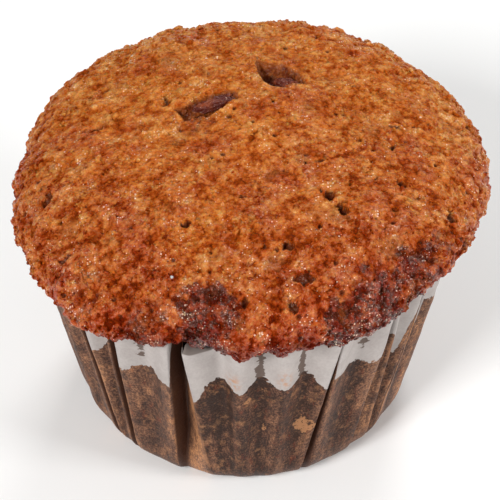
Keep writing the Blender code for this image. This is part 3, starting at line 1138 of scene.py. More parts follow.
@dataclass(frozen=True)
class CrustFinish:
    """Baked crust: ochre grain tops, orange-brown sides and crevices with painted shade, redder where it
    baked longer, with painted glints.
    """

    name: str = "crust"
    deep: Colour = srgb(112, 40, 5)
    russet: Colour = srgb(164, 72, 11)
    amber: Colour = srgb(196, 106, 28)
    ochre: Colour = srgb(212, 138, 64)
    straw: Colour = srgb(228, 174, 112)
    baked: Colour = srgb(228, 176, 116)
    scorch_and_shade: Colour = srgb(186, 156, 140)
    glaze: Colour = srgb(232, 192, 124)
    olive: Colour = srgb(150, 100, 50)
    caramel: Colour = srgb(196, 148, 108)
    crevice_shade: Colour = srgb(60, 26, 12)
    patch_glint: Colour = srgb(206, 160, 138)
    juice: Colour = srgb(152, 80, 34)
    flesh: Colour = srgb(92, 26, 8)
    hollow: Colour = srgb(96, 38, 16)
    glint: Colour = srgb(244, 208, 184)
    white_glint: Colour = srgb(255, 250, 244)
    bleed: tuple[float, float, float] = (1.0, 0.36, 0.12)
    bleed_length: float = 0.0011
    bleed_share: float = 0.4
    roughness: float = 0.42
    coat_roughness: float = 0.08

    def tone(self, sheet: Sheet, place: Socket, noises: Noises) -> Socket:
        """Put out a grain-by-grain tone, 0 in the crevices and 1 on the palest grain tops.

        It adds the relief's own height, which paints shade in the crevices and light on the grain tops,
        a random tone and a dark outline of painted crevice shade for each grain of 1.2 mm and 0.6 mm,
        noise of 0.35 mm, and the mottling. Long baking, and the painted shade that brown carries along
        the front rim, pull it down and make it stronger.

        Args:
            sheet: The material's sheet.
            place: Coordinates in metres.
            noises: The broad, middle and fine mottling.

        Returns:
            The tone.
        """
        broad, middle, _ = noises
        warped = sheet.warp(place, 0.001, 0.00022)
        # The relief's height paints shade in the crevices and light on the grain tops.
        tone = sheet.span(sheet.value("high"), 0.0, 1.0, -0.08, 0.42)
        for size, spread, outline in ((0.0012, 0.16, 0.16), (0.0006, 0.1, 0.08)):
            away, own = sheet.grains(warped, size)
            tone = sheet.sum("ADD", tone, sheet.span(own, 0.0, 1.0, -0.3 * spread, spread))
            # Each grain's dark outline is painted crevice shade.
            tone = sheet.sum("ADD", tone, sheet.span(away, 0.35, 0.75, 0.0, -outline))
        grit = sheet.noise(place, 0.00035, 2.0, 0.6)
        tone = sheet.sum("ADD", tone, sheet.span(grit, 0.3, 0.7, -0.01, 0.2))
        tone = sheet.sum("ADD", tone, sheet.span(middle, 0.3, 0.7, -0.05, 0.21))
        tone = sheet.sum("ADD", tone, sheet.span(broad, 0.3, 0.7, -0.17, 0.24))
        calm = sheet.span(sheet.value("brown"), 0.0, 0.8, 0.7, 1.0)
        tone = sheet.sum("MULTIPLY", sheet.sum("SUBTRACT", tone, 0.5), calm)
        return sheet.sum("ADD", tone, sheet.span(sheet.value("brown"), 0.0, 1.0, 0.58, 0.4))

    def dressing(self, sheet: Sheet, place: Socket, colour: Socket, noises: Noises) -> Socket:
        """Lay patches with painted crevice shade and painted glints, juice, painted shade in holes, crevices
        and under the lip, and painted glints over the crust's colour.

        Args:
            sheet: The material's sheet.
            place: Coordinates in metres.
            colour: The crust's own colour.
            noises: The broad, middle and fine mottling.

        Returns:
            The dressed colour.
        """
        broad, middle, fine = noises
        away, own = sheet.grains(sheet.warp(place, 0.001, 0.0003), 0.0009)
        burnt = sheet.sum("ADD", sheet.value("patch"), sheet.span(middle, 0.3, 0.7, -0.2, 0.2))
        burnt = sheet.span(burnt, 0.1, 0.8)
        colour = sheet.mix(burnt, colour, self.caramel, "MULTIPLY")
        # Crevices inside the caramelised patches get painted shade.
        shade_in_crevice = sheet.sum("ADD", sheet.span(away, 0.3, 0.65), sheet.span(own, 0.0, 1.0, 0.35, -0.5))
        dark = sheet.sum("MULTIPLY", burnt, sheet.span(shade_in_crevice, 0.2, 0.8, 0.0, 0.75))
        colour = sheet.mix(dark, colour, self.crevice_shade)
        # Painted glints on the caramelised patches.
        away, own = sheet.grains(place, 0.00036)
        patch_sparkle = sheet.sum("ADD", sheet.sum("SUBTRACT", own, away), sheet.span(broad, 0.4, 0.65, -0.1, 0.2))
        patch_sparkle = sheet.span(patch_sparkle, 0.54, 0.66, 0.0, 0.6)
        colour = sheet.mix(sheet.sum("MULTIPLY", burnt, patch_sparkle), colour, self.patch_glint)
        # Painted glints: small pinkish specks and rare white ones.
        specks = ((0.0004, 0.62, self.glint, 0.24), (0.0026, 0.84, self.white_glint, 0.02))
        for size, start, tint, gather in specks:
            away, own = sheet.grains(place, size)
            lit = sheet.sum("SUBTRACT", own, away)
            lit = sheet.sum("ADD", lit, sheet.span(broad, 0.4, 0.66, -gather, 0.5 * gather))
            lit = sheet.sum("ADD", lit, sheet.span(sheet.value("brown"), 0.4, 1.0, 0.0, 0.4 * gather))
            colour = sheet.mix(sheet.span(lit, start, start + 0.1, 0.0, 0.75), colour, tint)
        wet = sheet.sum("ADD", sheet.value("wet"), sheet.span(fine, 0.3, 0.7, -0.15, 0.15))
        juicy = sheet.mix(sheet.span(middle, 0.35, 0.65), self.flesh, self.juice)
        juicy = sheet.mix(sheet.span(wet, 0.5, 1.0), self.juice, juicy)
        colour = sheet.mix(sheet.span(wet, 0.05, 0.6, 0.0, 0.95), colour, juicy)
        # Holes, crevices, the lip's underside and the body get painted shade.
        return sheet.mix(sheet.span(sheet.value("cavity"), 0.2, 0.75, 0.0, 0.88), colour, self.hollow)

    def build(self, mottle: MottleGroup) -> bpy.types.Material:
        """Make the material.

        The colour runs from the crevices' painted shade to the grain tops' painted light along a ramp.
        Glazed stretches are more orange, and a few places are olive where the crumb is dense and moist.
        Grain tops, glazed stretches and well baked places shine most.

        Args:
            mottle: The shared mottling group.

        Returns:
            The material.
        """
        material, sheet, shader = new_material(self.name, self.amber)
        place = sheet.place()
        noises = mottle.place(sheet, place, 0.0034)
        tone = self.tone(sheet, place, noises)
        levels = (0.0, 0.28, 0.52, 0.78, 1.0)
        tones = (self.deep, self.russet, self.amber, self.ochre, self.straw)
        colour = sheet.ramp(tone, tuple(zip(levels, tones)))
        brown = sheet.value("brown")
        colour = sheet.mix(sheet.span(brown, 0.1, 0.9), colour, self.baked, "MULTIPLY")
        # Deepest browning, with painted shade along the front rim.
        colour = sheet.mix(sheet.span(brown, 0.8, 1.25), colour, self.scorch_and_shade, "MULTIPLY")
        glazed = sheet.span(sheet.noise(place, 0.0075, 3.0, 0.6), 0.48, 0.66)
        colour = sheet.mix(sheet.sum("MULTIPLY", glazed, 0.8), colour, self.glaze, "MULTIPLY")
        dense = sheet.noise(sheet.stretch(place, (1.0, 1.0, 0.9)), 0.0052, 2.0, 0.5)
        colour = sheet.mix(sheet.span(dense, 0.6, 0.72, 0.0, 0.3), colour, self.olive)
        sheet.feed(shader.inputs["Base Color"], self.dressing(sheet, place, colour, noises))
        wet = sheet.value("wet")
        rough = sheet.span(noises[1], 0.3, 0.7, self.roughness + 0.1, self.roughness - 0.1)
        rough = sheet.sum("SUBTRACT", rough, sheet.span(wet, 0.2, 1.0, 0.0, 0.2))
        sheet.feed(shader.inputs["Roughness"], rough)
        raised = sheet.span(tone, 0.15, 0.6)
        sheet.feed(shader.inputs["Specular IOR Level"], sheet.span(tone, 0.15, 0.6, 0.02, 0.16))
        shine = sheet.sum("ADD", sheet.sum("MULTIPLY", glazed, 0.4), sheet.span(brown, 0.1, 0.7, 0.15, 0.75))
        shine = sheet.sum("MULTIPLY", shine, raised)
        shine = sheet.sum("ADD", shine, sheet.sum("MULTIPLY", sheet.value("patch"), 0.15))
        shine = sheet.sum("ADD", shine, sheet.sum("MULTIPLY", wet, 0.15))
        sheet.feed(shader.inputs["Coat Weight"], sheet.sum("MINIMUM", shine, 1.0))
        shader.inputs["Coat Roughness"].default_value = self.coat_roughness
        shader.inputs["Subsurface Weight"].default_value = self.bleed_share
        shader.inputs["Subsurface Radius"].default_value = self.bleed
        shader.inputs["Subsurface Scale"].default_value = self.bleed_length
        small = sheet.sum("MULTIPLY", sheet.cells(place, 0.0006), 0.5)
        cells = sheet.sum("ADD", sheet.cells(place, 0.0012), small)
        normal = sheet.bump(sheet.sum("MULTIPLY", cells, -1.0), 0.0006)
        normal = sheet.bump(sheet.noise(place, 0.00045, 2.0, 0.5), 0.0004, 1.0, normal)
        sheet.feed(shader.inputs["Normal"], normal)
        sheet.feed(shader.inputs["Coat Normal"], normal)
        return material


@dataclass(frozen=True)
class FruitFinish:
    """Cooked fruit: nearly black red, wet, with paler juice and painted pale glints."""

    name: str = "fruit"
    flesh: Colour = srgb(84, 24, 12)
    juice: Colour = srgb(138, 64, 32)
    pale: Colour = srgb(236, 196, 168)
    roughness: float = 0.18
    specular: float = 0.24

    def build(self, mottle: MottleGroup) -> bpy.types.Material:
        """Make the material: flesh and juice mixed by mottling, with painted pale glints and fine wet
        wrinkles.

        Args:
            mottle: The shared mottling group.

        Returns:
            The material.
        """
        material, sheet, shader = new_material(self.name, self.flesh)
        place = sheet.place()
        broad, middle, fine = mottle.place(sheet, place, 0.002)
        colour = sheet.mix(sheet.span(broad, 0.45, 0.68), self.flesh, self.juice)
        # Painted glints: pale specks on the wet skin.
        colour = sheet.mix(sheet.span(fine, 0.64, 0.7, 0.0, 0.7), colour, self.pale)
        sheet.feed(shader.inputs["Base Color"], colour)
        rough = sheet.span(middle, 0.3, 0.7, self.roughness, self.roughness + 0.2)
        sheet.feed(shader.inputs["Roughness"], rough)
        shader.inputs["Specular IOR Level"].default_value = self.specular
        sheet.feed(shader.inputs["Normal"], sheet.bump(middle, 0.0005))
        return material


@dataclass(frozen=True)
class PaperFinish:
    """Baking paper: dry and white above, soaked brown and dark below, with tan flecks and red specks."""

    name: str = "paper"
    dry: Colour = srgb(180, 172, 168)
    soaked: Colour = srgb(132, 93, 70)
    grey: Colour = srgb(92, 62, 48)
    dark: Colour = srgb(52, 33, 25)
    shade: Colour = srgb(70, 43, 32)
    tan: Colour = srgb(186, 131, 90)
    ember: Colour = srgb(126, 52, 26)
    mark: Colour = srgb(92, 75, 66)
    stain: Colour = srgb(184, 140, 112)
    crumb: Colour = srgb(174, 122, 82)
    inner_shade: Colour = srgb(124, 114, 108)
    specular: float = 0.1

    def soak(self, sheet: Sheet, place: Socket, noises: Noises, grit: Socket) -> Socket:
        """Put out the soaked paper's colour.

        It is blotched at 2.5 mm and streaked up the wall, with a grit of 0.4 mm and a finer one. Ragged
        blots of 0.9 to 2.1 mm are tan or rusty. It is darker where it is fat, has painted shade in the
        flutes' valleys and in the pleats in dark brown, a painted tan highlight on the creases, and is tan
        where a flake shows through.

        Args:
            sheet: The material's sheet.
            place: Coordinates in metres.
            noises: The broad, middle and fine mottling.
            grit: Noise of 0.4 mm.

        Returns:
            The colour.
        """
        broad, middle, fine = noises
        bands = sheet.noise(sheet.stretch(place, (1.0, 1.0, 0.1)), 0.002, 2.0, 0.5)
        bands = sheet.span(bands, 0.35, 0.65, -0.14, 0.18)
        tone = sheet.sum("ADD", sheet.span(middle, 0.3, 0.7, 0.2, 0.57), bands)
        tone = sheet.sum("ADD", tone, sheet.span(grit, 0.3, 0.7, -0.1, 0.4))
        tone = sheet.sum("ADD", tone, sheet.span(broad, 0.3, 0.7, -0.06, 0.16))
        # Painted shade in the flutes' valleys.
        tone = sheet.sum("SUBTRACT", tone, sheet.sum("MULTIPLY", sheet.value("valley"), 0.3))
        tone = sheet.sum("SUBTRACT", tone, sheet.sum("MULTIPLY", sheet.value("fat"), 0.32))
        colour = sheet.ramp(tone, ((0.0, self.dark), (0.36, self.grey), (0.7, self.soaked), (1.05, self.tan)))
        for size, flat, start, tint, share in (
            (0.0021, 1.0, 0.52, self.tan, 0.36),
            (0.0009, 1.3, 0.56, self.tan, 0.38),
            (0.0014, 0.6, 0.56, self.ember, 0.45),
        ):
            blot = sheet.noise(sheet.stretch(place, (1.0, 1.0, flat)), size, 3.0, 0.72)
            colour = sheet.mix(sheet.span(blot, start, start + 0.2, 0.0, share), colour, tint)
        speckle = sheet.span(sheet.noise(place, 0.00018, 1.0, 0.5), 0.3, 0.7, 0.7, 1.25)
        tinted = sheet.add("ShaderNodeVectorMath", operation="SCALE")
        sheet.feed(tinted.inputs[0], colour)
        sheet.feed(tinted.inputs["Scale"], speckle)
        colour = tinted.outputs[0]
        # Painted tan highlight along the creases.
        crease_highlight = sheet.sum("MULTIPLY", sheet.value("crease"), sheet.span(middle, 0.4, 0.6, 0.1, 0.8))
        colour = sheet.mix(crease_highlight, colour, self.tan)
        flake = sheet.sum("ADD", sheet.value("flake"), sheet.span(fine, 0.3, 0.7, -0.2, 0.2))
        crumb = sheet.mix(sheet.span(grit, 0.36, 0.42), self.dark, self.crumb)
        colour = sheet.mix(sheet.span(flake, 0.45, 0.65, 0.0, 0.75), colour, crumb)
        colour = sheet.mix(sheet.span(sheet.value("blot"), 0.3, 0.7, 0.0, 0.9), colour, self.dark)
        return sheet.mix(sheet.span(sheet.value("fold"), 0.0, 1.0, 0.0, 0.92), colour, self.shade)

    def build(self, mottle: MottleGroup) -> bpy.types.Material:
        """Make the material.

        All patterns lie on the paper as if its folds were pulled out, so the folds don't stretch them.
        The attribute "dry" is the height above the soaked paper's edge in mm. Noise frays that edge.

        Args:
            mottle: The shared mottling group.

        Returns:
            The material.
        """
        material, sheet, shader = new_material(self.name, self.soaked)
        place = sheet.vector("unrolled")
        noises = mottle.place(sheet, place, 0.0075)
        _, middle, fine = noises
        grit = sheet.noise(place, 0.0004, 2.0, 0.6)
        edge = sheet.sum("ADD", sheet.value("dry"), sheet.span(fine, 0.3, 0.7, -0.35, 0.35))
        edge = sheet.sum("ADD", edge, sheet.span(middle, 0.3, 0.7, -0.4, 0.4))
        white = sheet.span(edge, -0.1, 0.1)
        clouded = sheet.span(middle, 0.35, 0.65, 0.0, 0.1)
        clouded = sheet.sum("ADD", sheet.span(grit, 0.3, 0.7, 0.0, 0.1), clouded)
        dry = sheet.mix(clouded, self.dry, self.mark)
        stain = sheet.sum("MULTIPLY", sheet.value("stain"), sheet.span(fine, 0.4, 0.6))
        dry = sheet.mix(stain, dry, self.stain)
        hairs = sheet.noise(sheet.stretch(place, (1.0, 1.0, 1.7)), 0.0017, 3.0, 0.6)
        marks = sheet.sum("ADD", sheet.value("soak"), sheet.span(hairs, 0.3, 0.7, -0.4, 0.4))
        dry = sheet.mix(sheet.span(marks, 0.44, 0.6, 0.0, 0.9), dry, self.mark)
        # The inner face gets a greyer copy of the paper: painted shade under the lip.
        dry = sheet.mix(sheet.value("inside"), dry, self.inner_shade)
        colour = sheet.mix(white, self.soak(sheet, place, noises, grit), dry)
        sheet.feed(shader.inputs["Base Color"], colour)
        rough = sheet.sum("ADD", sheet.sum("MULTIPLY", white, 0.25), sheet.span(middle, 0.3, 0.7, 0.42, 0.55))
        sheet.feed(shader.inputs["Roughness"], rough)
        shader.inputs["Specular IOR Level"].default_value = self.specular
        coarse = sheet.sum("SUBTRACT", 1.0, sheet.sum("MULTIPLY", white, 0.8))
        height = sheet.sum("MULTIPLY", grit, coarse)
        sheet.feed(shader.inputs["Normal"], sheet.bump(height, 0.0001, 0.8))
        return material


@dataclass(frozen=True)
class FloorFinish:
    """Plain pale table top."""

    name: str = "table_top"
    colour: Colour = srgb(244, 244, 243)
    cloud: Colour = srgb(225, 225, 225)
    roughness: float = 0.7

    def build(self, mottle: MottleGroup) -> bpy.types.Material:
        """Make the material: nearly white, with the faintest mottling.

        Args:
            mottle: The shared mottling group.

        Returns:
            The material.
        """
        material, sheet, shader = new_material(self.name, self.colour)
        broad, _, _ = mottle.place(sheet, sheet.place(), 0.05)
        colour = sheet.mix(sheet.span(broad, 0.3, 0.7, 0.0, 0.02), self.colour, self.cloud)
        sheet.feed(shader.inputs["Base Color"], colour)
        shader.inputs["Roughness"].default_value = self.roughness
        return material


# ---------------------------------------------------------------------------------------------
# Sub-assemblies
# ---------------------------------------------------------------------------------------------


@dataclass(frozen=True)
class Crust:
    """The whole cake as one skin: the crown's crust, and the plain body inside the paper."""

    crown: CrownForm
    lines: int = 305
    body_rings: tuple[float, ...] = (0.96, 0.7, 0.45, 0.2, 0.06)
    gap: float = 0.6

    def disc(self) -> tuple[np.ndarray, np.ndarray]:
        """Spread a square grid evenly over a disc.

        Each square ring of the grid becomes a circle. Along it the angle grows evenly with the
        place on the square's side, an eighth of a turn for each half side.

        Returns:
            Run from the middle (0 to 1) and angle in radians, each of shape (lines * lines,).
        """
        side = np.linspace(-1.0, 1.0, self.lines)
        a, b = np.meshgrid(side, side)
        run = np.maximum(np.abs(a), np.abs(b))
        wide = np.abs(a) > np.abs(b)
        safe_a = np.where(a == 0.0, 1.0, a)
        safe_b = np.where(b == 0.0, 1.0, b)
        angle = np.where(wide, 0.25 * math.pi * b / safe_a, 0.5 * math.pi - 0.25 * math.pi * a / safe_b)
        angle = np.where(wide & (a < 0.0), angle + math.pi, angle)
        angle = np.where(~wide & (b < 0.0), angle + math.pi, angle)
        return run.ravel(), angle.ravel()

    def edge(self) -> np.ndarray:
        """Point numbers round the grid's border, anticlockwise from above."""
        n = self.lines
        line = np.arange(n - 1)
        back = np.arange(n - 1, 0, -1)
        return np.concatenate((line, line * n + n - 1, (n - 1) * n + back, back * n))

    def piece(self) -> Piece:
        """Work out the skin.

        Returns:
            A closed piece: the crust's grid, rings down inside the paper, and a fan at the bottom.
        """
        n = self.lines
        run, angle = self.disc()
        points, _, relief = self.crown.crust_point(run, angle)
        corner = (np.arange(n - 1)[:, None] * n + np.arange(n - 1)).ravel()
        faces = [np.stack((corner, corner + 1, corner + n + 1, corner + n), axis=1)]
        edge = self.edge()
        case = self.crown.case
        azimuth = np.degrees(angle[edge]) + 90.0
        turned = np.radians(azimuth)
        blocks = [points]
        upper = edge
        count = len(edge)
        for share in self.body_rings:
            height = share * case.height
            radius = case.inner_radius(azimuth, height, self.gap)
            ring = round_axis(case.centre_x, radius, turned, np.full(count, height))
            start = sum(len(block) for block in blocks)
            lower = start + np.arange(count)
            faces.append(np.stack((np.roll(upper, -1), upper, lower, np.roll(lower, -1)), axis=1))
            blocks.append(ring)
            upper = lower
        bottom = sum(len(block) for block in blocks)
        blocks.append(np.array([[case.centre_x, 0.0, self.body_rings[-1] * case.height]]))
        centre = np.full(count, bottom)
        faces.append(np.stack((np.roll(upper, -1), upper, centre, centre), axis=1))
        everything = np.concatenate(blocks)
        plain = np.zeros(len(everything) - len(points))
        masks = [name for name in relief if name != "height"]
        values = {name: np.concatenate((relief[name], plain)) for name in masks}
        # The body inside the paper gets full painted shade.
        values["cavity"][len(points) :] = 1.0
        quads = np.concatenate(faces[:-1])
        return Piece("crust", everything, self._triangles(quads, faces[-1]), values)

    def _triangles(self, quads: np.ndarray, fan: np.ndarray) -> np.ndarray:
        """Split quads into triangles and add the bottom fan's triangles."""
        return np.concatenate((quads[:, [0, 1, 2]], quads[:, [0, 2, 3]], fan[:, :3]))


@dataclass(frozen=True)
class PaperCase:
    """The pleated paper case as one closed thin shell, whose rim rises where the crown's lip does."""

    form: CaseForm
    crown: CrownForm
    thickness: float = 0.12
    wall_rows: int = 34
    heel_rows: int = 7
    floor_rows: int = 4
    crumple: float = 0.16
    crumple_size: float = 6.0
    dent: float = 0.07
    dent_size: float = 2.2
    scallop: float = 0.12
    streak_reach: float = 1.4
    stain_reach: float = 1.7
    stain_height: float = 1.9
    streaks: tuple[tuple[float, float, float], ...] = (
        (4.8, 1.0, 30.0),
        (16.5, 0.9, 31.0),
        (-30.0, 0.8, 34.0),
        (36.0, 0.65, 34.5),
        (59.0, 0.6, 37.0),
    )
    smudges: Ovals = ((-6.7, 34.2, 0.5, 0.6), (-2.0, 38.2, 0.3, 0.15))
    stains: tuple[tuple[float, float], ...] = ((-2.6, 34.2), (11.4, 34.0))
    blots: Ovals = ((17.2, 13.6, 0.7, 0.8), (20.4, 18.2, 0.25, 0.35))
    flakes: Ovals = (
        (19.0, 17.6, 1.8, 2.2),
        (6.2, 18.6, 0.4, 1.0),
        (1.2, 27.6, 0.7, 0.8),
    )
    upright: float = 0.8
    roll_start: float = -15.7
    roll_end: float = -8.2
    roll_width: float = 1.6
    roll_rise: float = 1.6
    brim_rise: float = 0.04

    def heights(self) -> np.ndarray:
        """Heights of the wall's rows: close together round the heel, even above it."""
        turn = np.radians(np.linspace(8.0, 78.0, self.heel_rows))
        heel = self.form.heel_height * (1.0 - np.cos(turn))
        straight = np.linspace(self.form.heel_height, self.form.height, self.wall_rows - self.heel_rows)
        return np.concatenate(([0.0], heel, straight))

    def soak(self, azimuth: np.ndarray, height: np.ndarray) -> np.ndarray:
        """How far fat has soaked the white paper: a narrow bell across each streak, from its start up.

        Args:
            azimuth: Azimuths in degrees.
            height: Heights in mm.

        Returns:
            The share of fat at each place.
        """
        total = np.zeros_like(azimuth)
        for middle, strength, start in self.streaks:
            across = np.exp(-(((azimuth - middle) / self.streak_reach) ** 2))
            total = np.maximum(total, strength * across * smooth_step(start - 2.0, start + 2.0, height))
        return total

    def stain(self, azimuth: np.ndarray, height: np.ndarray) -> np.ndarray:
        """Faint tan stains on the white paper: a bell curve round each.

        Args:
            azimuth: Azimuths in degrees.
            height: Heights in mm.

        Returns:
            The share of stain at each place.
        """
        total = np.zeros_like(azimuth)
        for middle, level in self.stains:
            across = ((azimuth - middle) / self.stain_reach) ** 2
            upward = ((height - level) / self.stain_height) ** 2
            total = np.maximum(total, np.exp(-across - upward))
        return total

    def ovals(self, places: Ovals, azimuth: np.ndarray, height: np.ndarray) -> np.ndarray:
        """Upright ovals on the wall: 1 inside each, fading past it.

        Args:
            places: Each oval's azimuth, height, half width and half height.
            azimuth: Azimuths in degrees.
            height: Heights in mm.

        Returns:
            The share of oval at each place.
        """
        total = np.zeros_like(azimuth)
        for middle, level, half_width, half_height in places:
            width = math.radians(self.form.wall_radius(np.array([level]))[0])
            across = (azimuth - middle) * width / half_width
            reach = np.hypot(across, (height - level) / half_height)
            total = np.maximum(total, smooth_step(1.5, 0.5, reach))
        return total

    def shade(self, fold: np.ndarray, lit: np.ndarray, height: np.ndarray) -> np.ndarray:
        """How dark a place in a pleat is, 0 to 1: dark all over, but for a far side that light reaches.

        Args:
            fold: Share of the way down into the pleat.
            lit: Height in mm up to which light reaches its far side, 0 for none.
            height: Height in mm.

        Returns:
            The darkness.
        """
        reached = smooth_step(0.0, 9.0, lit - height) * smooth_step(0.95, 0.75, fold)
        return smooth_step(0.0, 0.2, fold) * (1.0 - reached)

    def _along_roll(self, azimuth: np.ndarray) -> np.ndarray:
        """Share of the way along the rim's rolled corner: 0 where it starts and 1 where it ends."""
        return (np.degrees(azimuth) - self.roll_start) / (self.roll_end - self.roll_start)

    def _wall(self, columns: Arrays) -> tuple[np.ndarray, np.ndarray, np.ndarray]:
        """Work out the wall's outer face, with crumpled paper and an uneven rim.

        The crumple is noise stretched up the wall, and it fades out at the floor. The rim waves a
        little and rises where the crown's lip is drawn back, but stays low along the rolled corner.

        Args:
            columns: What the form's columns() gives.

        Returns:
            Radius in mm, azimuth in radians and height in mm, each of shape (rows, columns).
        """
        form = self.form
        heights = self.heights()
        radius, azimuth = form.surface(columns, heights)
        height = np.repeat(heights[:, None], radius.shape[1], axis=1)
        share = height / form.height
        flat = round_axis(form.centre_x, radius, azimuth, height).reshape(-1, 3)
        crumple = self.crumple * layered_noise(flat * (1.0, 1.0, 0.3), self.crumple_size, 2, 301)
        crumple = crumple + self.dent * soft_noise(flat, self.dent_size, 307)
        radius = radius + crumple.reshape(radius.shape) * smooth_step(0.0, 0.2, share)
        along = self._along_roll(azimuth)
        drop, _ = self.crown.lip_moves(np.degrees(azimuth))
        held = smooth_step(-0.5, -0.1, along) * smooth_step(1.25, 0.95, along)
        follow = np.maximum(-drop, 0.0) * (1.0 - held) + 0.5 * held * smooth_step(0.3, 0.0, along)
        scallop = self.scallop * np.sin(9.0 * azimuth + 0.6) + follow
        return radius, azimuth, height + scallop * smooth_step(0.8, 1.0, share)

    def _roll(self, fold: np.ndarray, azimuth: np.ndarray, height: np.ndarray) -> np.ndarray:
        """How far the rim is rolled over at each place on the wall, from 0 to 1.

        Along the corner it is the root of half a sine wave of the way to the power of 0.65, so it
        opens fast and closes slowly. It begins 1.2 mm under the rim, and fades down into a pleat.

        Args:
            fold: Share of the way down into a pleat, for each column.
            azimuth: Azimuths in radians, shape (rows, columns).
            height: Heights in mm, of the same shape.

        Returns:
            The share of the roll, of the same shape.
        """
        opened = np.sin(math.pi * np.clip(self._along_roll(azimuth), 0.0, 1.0) ** 0.65) ** 0.5
        return opened * smooth_step(self.form.height - 1.2, self.form.height, height) * (1.0 - fold)

    def _masks(self, columns: Arrays, azimuth: np.ndarray, points: np.ndarray) -> Arrays:
        """Work out what the finish reads at every point of the shell.

        Args:
            columns: What the form's columns() gives.
            azimuth: Azimuths of the wall's rows in radians, shape (rows, columns).
            points: The shell's points in mm: outer rows, brim, inner rows and the floor's two middles.

        Returns:
            Each point's place on the paper with its folds pulled out, and the masks that colour it.
        """
        outer_rows = self.floor_rows + azimuth.shape[0]
        rows = 2 * outer_rows + 1
        z = points[:, 2]
        pad = np.zeros(2)
        shared = ("dry", "crease", "fold", "wave", "fat", "lit", "edge_shade")
        tile = {name: np.concatenate((np.tile(columns[name], rows), pad)) for name in shared}
        degrees = np.concatenate((np.zeros((self.floor_rows, azimuth.shape[1])), np.degrees(azimuth)))
        turned = np.concatenate((degrees.ravel(), degrees[-1], degrees[::-1].ravel(), pad))
        share = np.clip(z / 8.0, 0.0, 1.0)
        barrel = np.concatenate((np.tile(self.barrel(columns), (rows, 1)), np.zeros((2, 2))))
        shade = self.shade(tile["fold"], tile["lit"], z)
        inner = np.arange(len(points)) >= outer_rows * azimuth.shape[1]
        return {
            "unrolled": np.column_stack((barrel, self.upright * z)) * MM,
            "dry": z - tile["dry"],
            "crease": tile["crease"] * share,
            # fold is the painted shade in the pleats and beside them.
            "fold": np.maximum(shade, tile["edge_shade"] * smooth_step(36.0, 30.0, z)),
            # valley darkens the flutes' valleys with painted shade.
            "valley": (0.5 - 0.5 * tile["wave"]) * (tile["fold"] == 0.0) * share,
            "fat": tile["fat"],
            "soak": np.maximum(self.soak(turned, z), 0.7 * self.ovals(self.smudges, turned, z)),
            "stain": self.stain(turned, z),
            "flake": self.ovals(self.flakes, turned, z),
            "blot": self.ovals(self.blots, turned, z),
            # inside marks the inner face for its painted shade.
            "inside": inner * (tile["fold"] < 0.5),
        }

    def piece(self) -> Piece:
        """Work out the shell.

        Returns:
            A closed piece: floor, wall and rim outside, then the same surface moved in by the
            paper's thickness, row by row back to the middle of the floor.
        """
        columns = self.form.columns()
        radius, azimuth, height = self._wall(columns)
        outer = round_axis(self.form.centre_x, radius, azimuth, height)
        down = np.linspace(0.25, 1.0, self.floor_rows, endpoint=False)[:, None, None]
        axis = np.array([self.form.centre_x, 0.0, 0.0])
        outer = np.concatenate((axis + down * (outer[:1] - axis), outer))
        around = np.roll(outer, -1, axis=1) - np.roll(outer, 1, axis=1)
        inner = outer - self.thickness * unit(np.cross(around, np.gradient(outer, axis=0)))
        rolled = self._roll(columns["fold"], azimuth, height)
        rolled = np.concatenate((np.zeros((self.floor_rows, radius.shape[1])), rolled))[:, :, None]
        inward = unit((axis - outer) * (1.0, 1.0, 0.0))
        roll = rolled * (self.roll_width * inward + (0.0, 0.0, self.roll_rise))
        brim = inner[-1:] + (0.0, 0.0, self.brim_rise)
        grid = np.concatenate((outer, brim, (inner + roll)[::-1]))
        middles = np.stack((axis, axis + (0.0, 0.0, self.thickness)))
        points = np.concatenate((grid.reshape(-1, 3), middles))
        faces = closed_rows(grid.shape[0], grid.shape[1])
        return Piece("paper_shell", points, faces, self._masks(columns, azimuth, points))

    def barrel(self, columns: Arrays) -> np.ndarray:
        """Bend the wall's whole length, measured along its folds, round into a plain circle.

        Args:
            columns: What the form's columns() gives.

        Returns:
            A place in mm on that circle for each column, shape (columns, 2).
        """
        radius, azimuth = self.form.surface(columns, np.array([0.6 * self.form.height]))
        ring = np.stack((radius[0] * np.sin(azimuth[0]), radius[0] * np.cos(azimuth[0])), axis=1)
        steps = np.linalg.norm(np.roll(ring, -1, axis=0) - ring, axis=1)
        turn = TURN * (np.cumsum(steps) - steps) / steps.sum()
        return steps.sum() / TURN * np.stack((np.sin(turn), -np.cos(turn)), axis=1)


